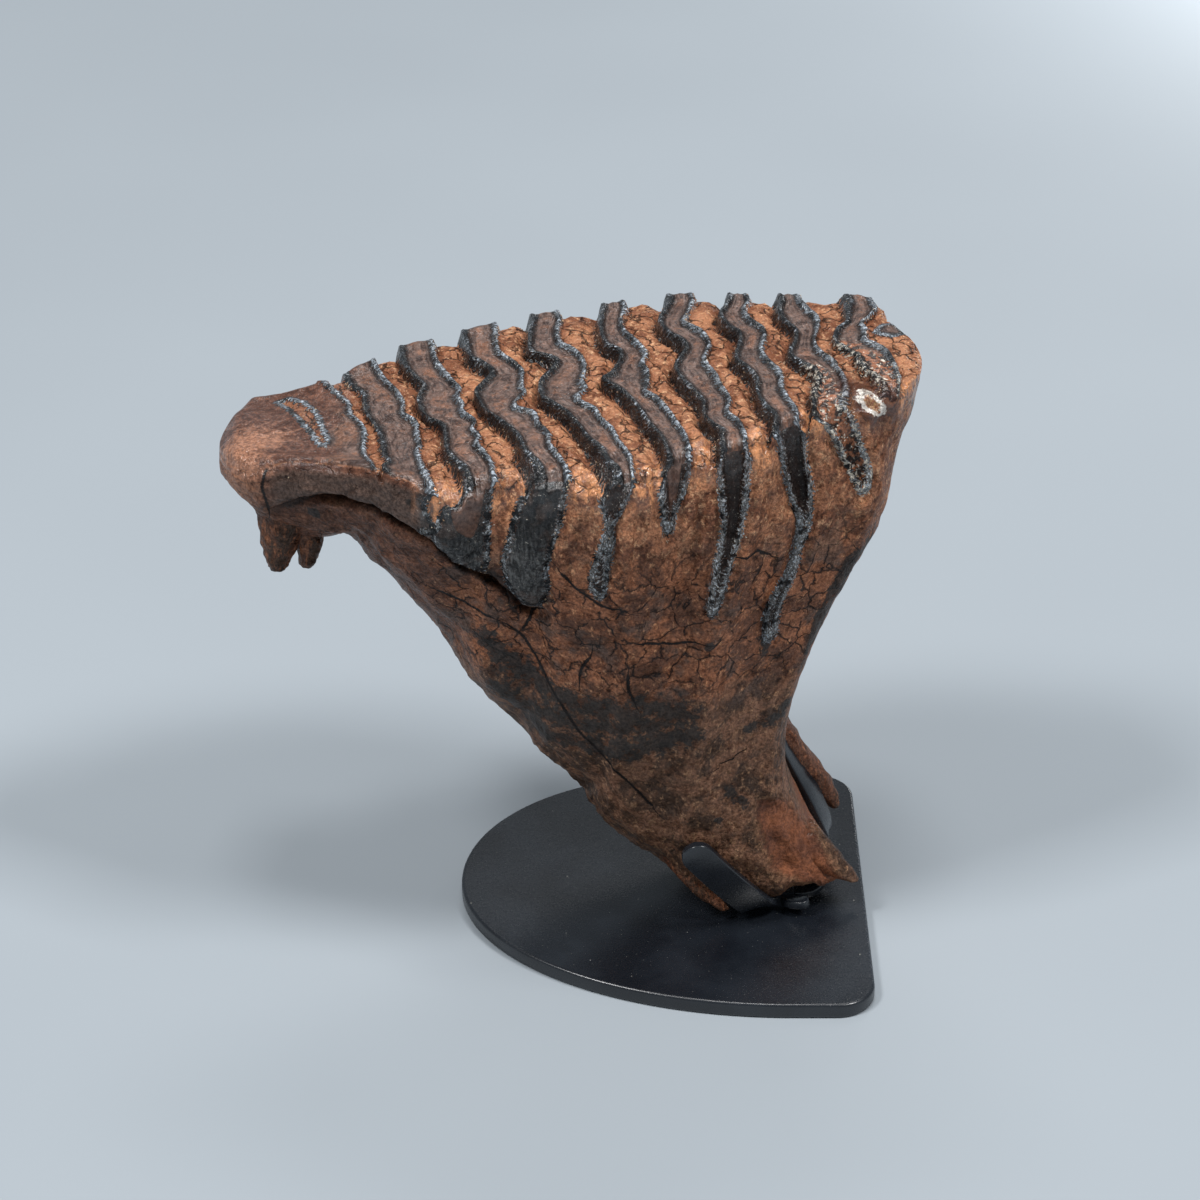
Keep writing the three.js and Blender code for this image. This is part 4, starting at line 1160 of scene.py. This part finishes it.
    # painted shade in hollows and pits, painted light on raised tops
    onNose = ramp(lengthwise, *borders["nose"])
    calm = most(times(dentineMask, outside(onNose)), facetMask)
    hollowShade = most(ramp(grain, 0.4, 0.3), ramp(small, 0.46, 0.36))
    hollowShade = times(hollowShade, timesPlus(onCement, 0.4, 0.3), timesPlus(facetMask, -0.7, 1.0))
    shown = tint(hollowShade, shown, fossil["shade"], "MULTIPLY")
    pepper = speckle(place, texture["pepper"], 4, 0.7)
    pitShadeAndProudLight = tint(ramp(pepper, 0.38, 0.62), fossil["pitShade"], fossil["proudLight"])
    softer = most(times(calm, 0.35), times(onCement, crown))
    shown = tint(timesPlus(softer, -0.55, 1.0), shown, pitShadeAndProudLight, "MULTIPLY")
    plug(principled.inputs["Base Color"], shown)

    # gloss
    rough = blend(crown, gloss["wall"], gloss["cement"])
    for mask, finish in ((dentineMask, "dentine"), (most(enamelBand, skirt), "enamel"), (facetMask, "facet"),
                         (most(crustMask, ringMask), "crust"), (halo, "crust")):
        rough = blend(mask, rough, gloss[finish])
    plug(principled.inputs["Roughness"], ragged(rough, small, 0.8))
    principled.inputs["Specular IOR Level"].default_value = gloss["underneath"]
    glossy = most(onNose, most(enamelBand, insidePlate))
    glossy = most(times(lit, 0.9), times(glossy, crown))
    varnish = blend(glossy, gloss["varnish"], gloss["varnishThick"])
    varnish = times(varnish, ramp(small, 0.4, 0.6, 0.5, 1.1))
    plug(principled.inputs["Coat Weight"], varnish)
    principled.inputs["Coat Roughness"].default_value = gloss["varnishRough"]
    principled.inputs["Coat IOR"].default_value = gloss["varnishIor"]

    # small relief
    fineness = timesPlus(crown, -0.32, 0.55)
    uneven = timesPlus(small, 1.1, times(grain, fineness))
    relief = times(uneven, timesPlus(calm, -0.8, 1.0))
    grooves = times(streaks, timesPlus(onNose, -0.35, 0.35))
    relief = timesPlus(times(pepper, fineness), 0.6, relief)
    relief = timesPlus(dentineMask, grooves, relief)
    ribs = times(rib, ramp(crown, 0.0, 1.0, 0.2, 0.55))
    relief = timesPlus(enamelBand, ribs, relief)
    relief = timesPlus(skirt, times(vertical, 0.5), relief)
    cutLines = most(times(allCracks, outside(crown)), times(crownCracks, crown))
    relief = timesPlus(times(cutLines, onCement), -0.5, relief)
    plug(principled.inputs["Normal"], bumped(relief, texture["reliefDepth"]))
    varnished = timesPlus(times(enamelBand, ribs), 0.7, times(small, 0.9))
    varnished = timesPlus(cutLines, -0.3, timesPlus(grain, 0.6, varnished))
    plug(principled.inputs["Coat Normal"], bumped(varnished, texture["varnishDepth"]))
    return material


# the stand

paint = {"black": (0.005, 0.0065, 0.01), "worn": (0.036, 0.044, 0.056), "dust": (0.42, 0.4, 0.36),
         "rough": 0.28, "unevenness": 0.16, "shine": 0.7, "clouds": 18.0, "fine": 0.6, "grain": 0.06,
         "dustSpecks": (0.5, 0.14, 0.13), "lintSpecks": (1.7, 0.2, 0.17)}  # density, amount and size
plateSize = {"thickness": 4, "edgeRound": 0.8, "rightX": 50.8, "tipY": 2.85, "corner": 9.5,
             "nearOval": (30.4, 81.2, 53.7), "farOval": (6.2, 57, 48)}
strapSize = {"width": 8, "thickness": 2, "tabWidth": 3.8, "edgeRound": 0.35, "gap": 0.3, "steps": 90}
hub = {"x": 26.5, "y": -5.5, "length": 12, "width": 9, "top": 8.2}
legZ = hub["top"] - 0.4 - strapSize["thickness"] / 2
nearFace = hub["y"] - hub["width"] / 2
backFace = hub["x"] + hub["length"] / 2
# centre and width direction at each station, from the hub outwards
straps = {
    "near_strap": [
        ((24.6, nearFace - strapSize["gap"], legZ), (1, 0, 0)), ((24.6, nearFace - 1.6, legZ), (1, 0, 0)),
        ((22.8, -15.6, 8.8), (0.9, 0.1, 0.3)), ((19, -19.8, 14.6), (0.78, 0, 0.62)),
        ((13, -22.6, 22.4), (0.76, 0, 0.65)), ((5.6, -24.2, 31.6), (0.74, 0, 0.67))],
    "back_strap": [
        ((backFace + strapSize["gap"], -5.5, legZ), (0, 1, 0)), ((backFace + 1.6, -5.5, legZ), (0, 1, 0)),
        ((backFace + 2.6, -5.3, legZ), (0, 1, 0)), ((38, -0.5, legZ), (-0.5, 1, 0)),
        ((40.2, 5.4, 9.4), (-0.2, 1, 0)), ((41.2, 9, 15), (0.2, 0.97, 0)),
        ((39, 12, 20.5), (0.25, 0.96, 0)),
        ((35.2, 14.4, 27.5), (0.3, 0.95, 0)), ((31.2, 15.4, 35.5), (0.3, 0.95, 0)),
        ((28.6, 15.8, 43), (0.3, 0.95, 0))],
    "front_tab": [
        ((31.4, nearFace - strapSize["gap"], legZ - 0.2), (1, 0, 0)),
        ((31.4, nearFace - 1.4, legZ - 0.2), (1, 0, 0)),
        ((33.4, -13, legZ + 0.4), (0.8, 0.5, 0)), ((36.2, -13.8, legZ + 1.2), (0.6, 0.8, 0.1))],
}


def specks(place, which):
    density, amount, size = paint[which]
    return useGroup(dustSpecks, Place=place, Density=density, Amount=amount, Size=size)["Mask"]


def paintFinish():
    material, tree, principled = startMaterial("stand_paint")
    place = millimetres(tree)
    geometry = put(tree, "ShaderNodeNewGeometry")
    edgeHere = ramp(geometry.outputs["Pointiness"], 0.53, 0.62)
    cloud = speckle(place, paint["clouds"], 3)
    base = tint(ramp(cloud, 0.35, 0.7, 0.0, 0.25), paint["black"], paint["worn"])
    base = tint(times(edgeHere, 0.3), base, paint["worn"])
    dust = specks(place, "dustSpecks")
    lint = specks(stretched(place, (1, 1, 1), (31, 17, 5)), "lintSpecks")
    facing = put(tree, "ShaderNodeSeparateXYZ")
    tree.links.new(geometry.outputs["Normal"], facing.inputs[0])
    lying = ramp(facing.outputs["Z"], 0.5, 0.9)
    dusty = times(most(dust, times(lint, 0.6)), lying)
    base = tint(times(dusty, 0.75), base, paint["dust"])
    plug(principled.inputs["Base Color"], base)
    fine = speckle(place, paint["fine"], 3, 0.6)
    principled.inputs["Specular IOR Level"].default_value = paint["shine"]
    rough = timesPlus(fine, paint["unevenness"], paint["rough"] - paint["unevenness"] / 2)
    rough = plus(rough, times(dusty, 0.4))
    plug(principled.inputs["Roughness"], rough)
    relief = timesPlus(fine, 0.5, times(dusty, 1.2))
    plug(principled.inputs["Normal"], bumped(relief, paint["grain"]))
    return material


def plateOutline(inset):  # two quarter ovals at the left, two round corners at the right
    size = plateSize
    right, radius = size["rightX"] - inset, size["corner"] - inset
    (nearX, nearA, nearB), (farX, farA, farB) = size["nearOval"], size["farOval"]
    lowY, highY = size["tipY"] - nearB + inset, size["tipY"] + farB - inset
    quarter = math.pi / 2
    arcs = [
        (nearX, size["tipY"], nearA - inset, nearB - inset, np.linspace(2 * quarter, 3 * quarter, 60)),
        (right - radius, lowY + radius, radius, radius, np.linspace(-quarter, 0, 16)),
        (right - radius, highY - radius, radius, radius, np.linspace(0, quarter, 16)),
        (farX, size["tipY"], farA - inset, farB - inset, np.linspace(quarter, 2 * quarter, 60)[:-1]),
    ]
    return [(x + halfX * math.cos(turn), y + halfY * math.sin(turn))
            for x, y, halfX, halfY, turns in arcs for turn in turns]


def makePlate():
    thickness, edge = plateSize["thickness"], plateSize["edgeRound"]
    levelsUp = []
    for turn in np.linspace(0, math.pi / 2, 6):
        levelsUp.append((edge * (1 - math.sin(turn)), edge * (1 - math.cos(turn))))
    layers = levelsUp + [(inset, thickness - z) for inset, z in reversed(levelsUp)]
    verts = []
    for inset, z in layers:
        verts += [(x * mm, y * mm, z * mm) for x, y in plateOutline(inset)]
    piece = meshObject("base_plate_painted", verts, skinFaces(len(layers), len(plateOutline(0))))
    for polygon in piece.data.polygons[-2:]:
        polygon.use_smooth = False
    return piece


def strapPath(stations, count):  # centripetal curve through the stations, at even distances
    points = [Vector(p) for p, _ in stations]
    points = [points[0] * 2 - points[1]] + points + [points[-1] * 2 - points[-2]]
    dense, marks = [], []
    for i in range(1, len(points) - 2):
        p0, p1, p2, p3 = points[i - 1:i + 3]
        d0, d1, d2 = ((b - a).length ** 0.5 for a, b in ((p0, p1), (p1, p2), (p2, p3)))
        t1 = ((p1 - p0) / d0 - (p2 - p0) / (d0 + d1) + (p2 - p1) / d1) * d1
        t2 = ((p2 - p1) / d1 - (p3 - p1) / (d1 + d2) + (p3 - p2) / d2) * d1
        for u in np.linspace(0, 1, 60, endpoint=i == len(points) - 3).tolist():
            bend = -3 * p1 + 3 * p2 - 2 * t1 - t2 + u * (2 * p1 - 2 * p2 + t1 + t2)
            dense.append(p1 + u * (t1 + u * bend))
            marks.append(i - 1 + u)
    dense = np.array(dense)
    reach = np.concatenate([[0], np.cumsum(np.linalg.norm(np.diff(dense, axis=0), axis=1))])
    wanted = np.linspace(0, reach[-1], count)
    centres = np.stack([np.interp(wanted, reach, dense[:, k]) for k in range(3)], 1)
    return centres, np.interp(wanted, reach, marks), wanted


def makeStrap(name, stations, width):
    radius, thick, edge = width / 2, strapSize["thickness"] / 2, strapSize["edgeRound"]
    centres, marks, reach = strapPath(stations, strapSize["steps"])
    tangents = np.gradient(centres, axis=0)
    tangents /= np.linalg.norm(tangents, axis=1, keepdims=True)
    given = np.array([w for _, w in stations], float)
    given /= np.linalg.norm(given, axis=1, keepdims=True)
    total = reach[-1]
    ease = np.linspace(0, math.pi / 2, 12)[1:]
    stops = [s for s in reach if s < total - radius] + [total - radius + radius * math.sin(e) for e in ease]
    verts = []
    corner = [(math.cos(t), math.sin(t)) for t in np.linspace(0, math.pi / 2, 4)]
    section = [(sx, sz, cx, cz) for sx, sz, turned in ((1, 1, 0), (-1, 1, 1), (-1, -1, 0), (1, -1, 1))
               for cx, cz in (corner if not turned else corner[::-1])]
    for stop in stops:
        centre = np.array([np.interp(stop, reach, centres[:, k]) for k in range(3)])
        tangent = np.array([np.interp(stop, reach, tangents[:, k]) for k in range(3)])
        mark = min(float(np.interp(stop, reach, marks)), len(stations) - 1.001)
        first = int(mark)
        across = mix(given[first], given[first + 1], mark - first)
        across = across - tangent * across.dot(tangent)
        across /= np.linalg.norm(across)
        up = np.cross(tangent, across)
        past = max(stop - (total - radius), 0)
        half = max(math.sqrt(max(radius ** 2 - past ** 2, 0)), 0.05)
        left = clamp((total - stop) / edge) if stop > total - edge else 1.0
        flat = thick - edge * (1 - math.sqrt(1 - (1 - float(left)) ** 2))
        small = min(edge, half * 0.9)
        for sx, sz, cx, cz in section:
            a = sx * (half - small + small * cx)
            b = sz * (flat - small + small * cz)
            verts.append(tuple((centre + across * a + up * b) * mm))
    piece = meshObject(name + "_painted", verts, skinFaces(len(stops), len(section)))
    faceOutwards(piece)
    return piece


# matrix crumbs lodged along the enamel

crumbs = {
    "seed": 4, "density": 0.9, "small": 0.1, "large": 0.32,
    "slimmest": (0.6, 0.5, 0.4), "fullest": (1.3, 1.0, 0.9), "shapeSeed": 11, "turnSeed": 5,
    "dark": (0.14, 0.07, 0.035), "main": (0.42, 0.27, 0.15), "light": (0.8, 0.72, 0.6), "flecks": 0.5,
    "patches": 7, "lowest": 95, "full": 112,
}


def crumbTree():
    tree = bpy.data.node_groups.new("matrixCrumbs", "GeometryNodeTree")
    tree.interface.new_socket("Geometry", in_out="INPUT", socket_type="NodeSocketGeometry")
    kinds = {"Density": "Float", "Smallest": "Float", "Largest": "Float", "Seed": "Int",
             "Finish": "Material"}
    names = {}
    for label, kind in kinds.items():
        socket = tree.interface.new_socket(label, in_out="INPUT", socket_type="NodeSocket" + kind)
        names[label] = socket.identifier
    tree.interface.new_socket("Geometry", in_out="OUTPUT", socket_type="NodeSocketGeometry")
    entry, leave = tree.nodes.new("NodeGroupInput"), tree.nodes.new("NodeGroupOutput")
    grit = put(tree, "GeometryNodeInputNamedAttribute", data_type="FLOAT")
    grit.inputs["Name"].default_value = "grit"
    much = put(tree, "ShaderNodeMath", operation="MULTIPLY")
    spread = put(tree, "GeometryNodeDistributePointsOnFaces", distribute_method="RANDOM")
    stone = put(tree, "GeometryNodeMeshIcoSphere")
    stone.inputs["Radius"].default_value = 1
    stone.inputs["Subdivisions"].default_value = 1
    size = put(tree, "FunctionNodeRandomValue", data_type="FLOAT")
    shape = put(tree, "FunctionNodeRandomValue", data_type="FLOAT_VECTOR")
    shape.inputs[0].default_value = crumbs["slimmest"]
    shape.inputs[1].default_value = crumbs["fullest"]
    shape.inputs["Seed"].default_value = crumbs["shapeSeed"]
    sized = put(tree, "ShaderNodeVectorMath", operation="SCALE")
    turned = put(tree, "FunctionNodeRandomValue", data_type="FLOAT_VECTOR")
    turned.inputs[1].default_value = (6.28, 6.28, 6.28)
    turned.inputs["Seed"].default_value = crumbs["turnSeed"]
    placed = put(tree, "GeometryNodeInstanceOnPoints")
    real = put(tree, "GeometryNodeRealizeInstances")
    coat = put(tree, "GeometryNodeSetMaterial")
    links = [
        (grit.outputs["Attribute"], much.inputs[0]), (entry.outputs["Density"], much.inputs[1]),
        (entry.outputs["Geometry"], spread.inputs["Mesh"]), (much.outputs[0], spread.inputs["Density"]),
        (entry.outputs["Seed"], spread.inputs["Seed"]), (entry.outputs["Smallest"], size.inputs[2]),
        (entry.outputs["Largest"], size.inputs[3]), (entry.outputs["Seed"], size.inputs["Seed"]),
        (shape.outputs[0], sized.inputs[0]), (size.outputs[1], sized.inputs["Scale"]),
        (spread.outputs["Points"], placed.inputs["Points"]),
        (stone.outputs["Mesh"], placed.inputs["Instance"]),
        (turned.outputs[0], placed.inputs["Rotation"]), (sized.outputs[0], placed.inputs["Scale"]),
        (placed.outputs[0], real.inputs[0]), (real.outputs[0], coat.inputs["Geometry"]),
        (entry.outputs["Finish"], coat.inputs["Material"]), (coat.outputs[0], leave.inputs[0]),
    ]
    for source, target in links:
        tree.links.new(source, target)
    return tree, names


def crumbFinish():
    material, tree, principled = startMaterial("matrix_crumb")
    place = millimetres(tree)
    pale = useGroup(mottle, Place=stretched(place, (3, 3, 3)), Dark=crumbs["dark"],
                    Main=crumbs["main"], Light=crumbs["light"], Flecks=crumbs["flecks"])
    plug(principled.inputs["Base Color"], pale["Colour"])
    plug(principled.inputs["Roughness"], timesPlus(pale["Height"], 0.4, 0.3))
    plug(principled.inputs["Normal"], bumped(pale["Height"], 0.1))
    return material


def makeCrumbs(molar):  # the crumbs grow on a copy of the tooth, which then goes
    data = molar.data
    count = len(data.vertices)
    values = {}
    for name in ("band", "reach", "crown", "near", "stump"):
        values[name] = np.zeros(count, np.float32)
        data.attributes[name].data.foreach_get("value", values[name])
    place = np.zeros(count * 3, np.float32)
    data.vertices.foreach_get("co", place)
    place = place.reshape(-1, 3) / mm
    patches = crumple(place, crumbs["patches"], 2)
    edge = np.exp(-((values["band"] + values["reach"]) / 0.5) ** 2)
    high = smooth(crumbs["lowest"], crumbs["full"], place[:, 2])
    grit = edge * smooth(-0.1, 0.5, patches) * (1 - values["stump"]) * high
    grit = grit * (0.25 + 0.75 * np.maximum(values["crown"], values["near"]))
    attribute = data.attributes.new("grit", "FLOAT", "POINT")
    attribute.data.foreach_set("value", grit.astype(np.float32))
    source = bpy.data.objects.new("crumbSource", data)
    bpy.context.scene.collection.objects.link(source)
    tree, names = crumbTree()
    modifier = source.modifiers.new("crumbs", "NODES")
    modifier.node_group = tree
    modifier[names["Density"]] = crumbs["density"] / mm ** 2
    modifier[names["Smallest"]] = crumbs["small"] * mm
    modifier[names["Largest"]] = crumbs["large"] * mm
    modifier[names["Seed"]] = crumbs["seed"]
    modifier[names["Finish"]] = crumbFinish()
    evaluated = source.evaluated_get(bpy.context.evaluated_depsgraph_get())
    mesh = bpy.data.meshes.new_from_object(evaluated)
    bpy.data.objects.remove(source)
    piece = bpy.data.objects.new("matrix_crumbs", mesh)
    bpy.context.scene.collection.objects.link(piece)
    print("crumbs:", len(mesh.polygons), "faces")
    return piece


# putting it together

def floorFinish():
    material, tree, principled = startMaterial("studioFloor")
    place = millimetres(tree)
    soft = speckle(place, stageLook["cloudSize"], 2)
    clouds = ramp(soft, 0.3, 0.7, 0.0, stageLook["cloudShare"])
    base = tint(clouds, stageLook["floorColour"], stageLook["floorCloud"])
    plug(principled.inputs["Base Color"], base)
    principled.inputs["Roughness"].default_value = stageLook["floorRough"]
    return material


floor = makeStage()
floor.data.materials.append(floorFinish())
print("stage: ready")

toothLook = toothFinish()
paintLook = paintFinish()
molar = makeTooth()
molar.data.materials.append(toothLook)
molar.data.update()
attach(molar, "root")
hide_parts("molar")

grit = makeCrumbs(molar)
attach(grit, "root")

plate = makePlate()
plate.data.materials.append(paintLook)
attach(plate, "root")
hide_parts("base_plate")
for node, stations in straps.items():
    width = strapSize["tabWidth"] if node == "front_tab" else strapSize["width"]
    strap = makeStrap(node, stations, width)
    strap.data.materials.append(paintLook)
    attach(strap, "root")
    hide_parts(node)
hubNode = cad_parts["cradle_hub"]
hubNode.data.materials.clear()
hubNode.data.materials.append(paintLook)
print("stand: ready")
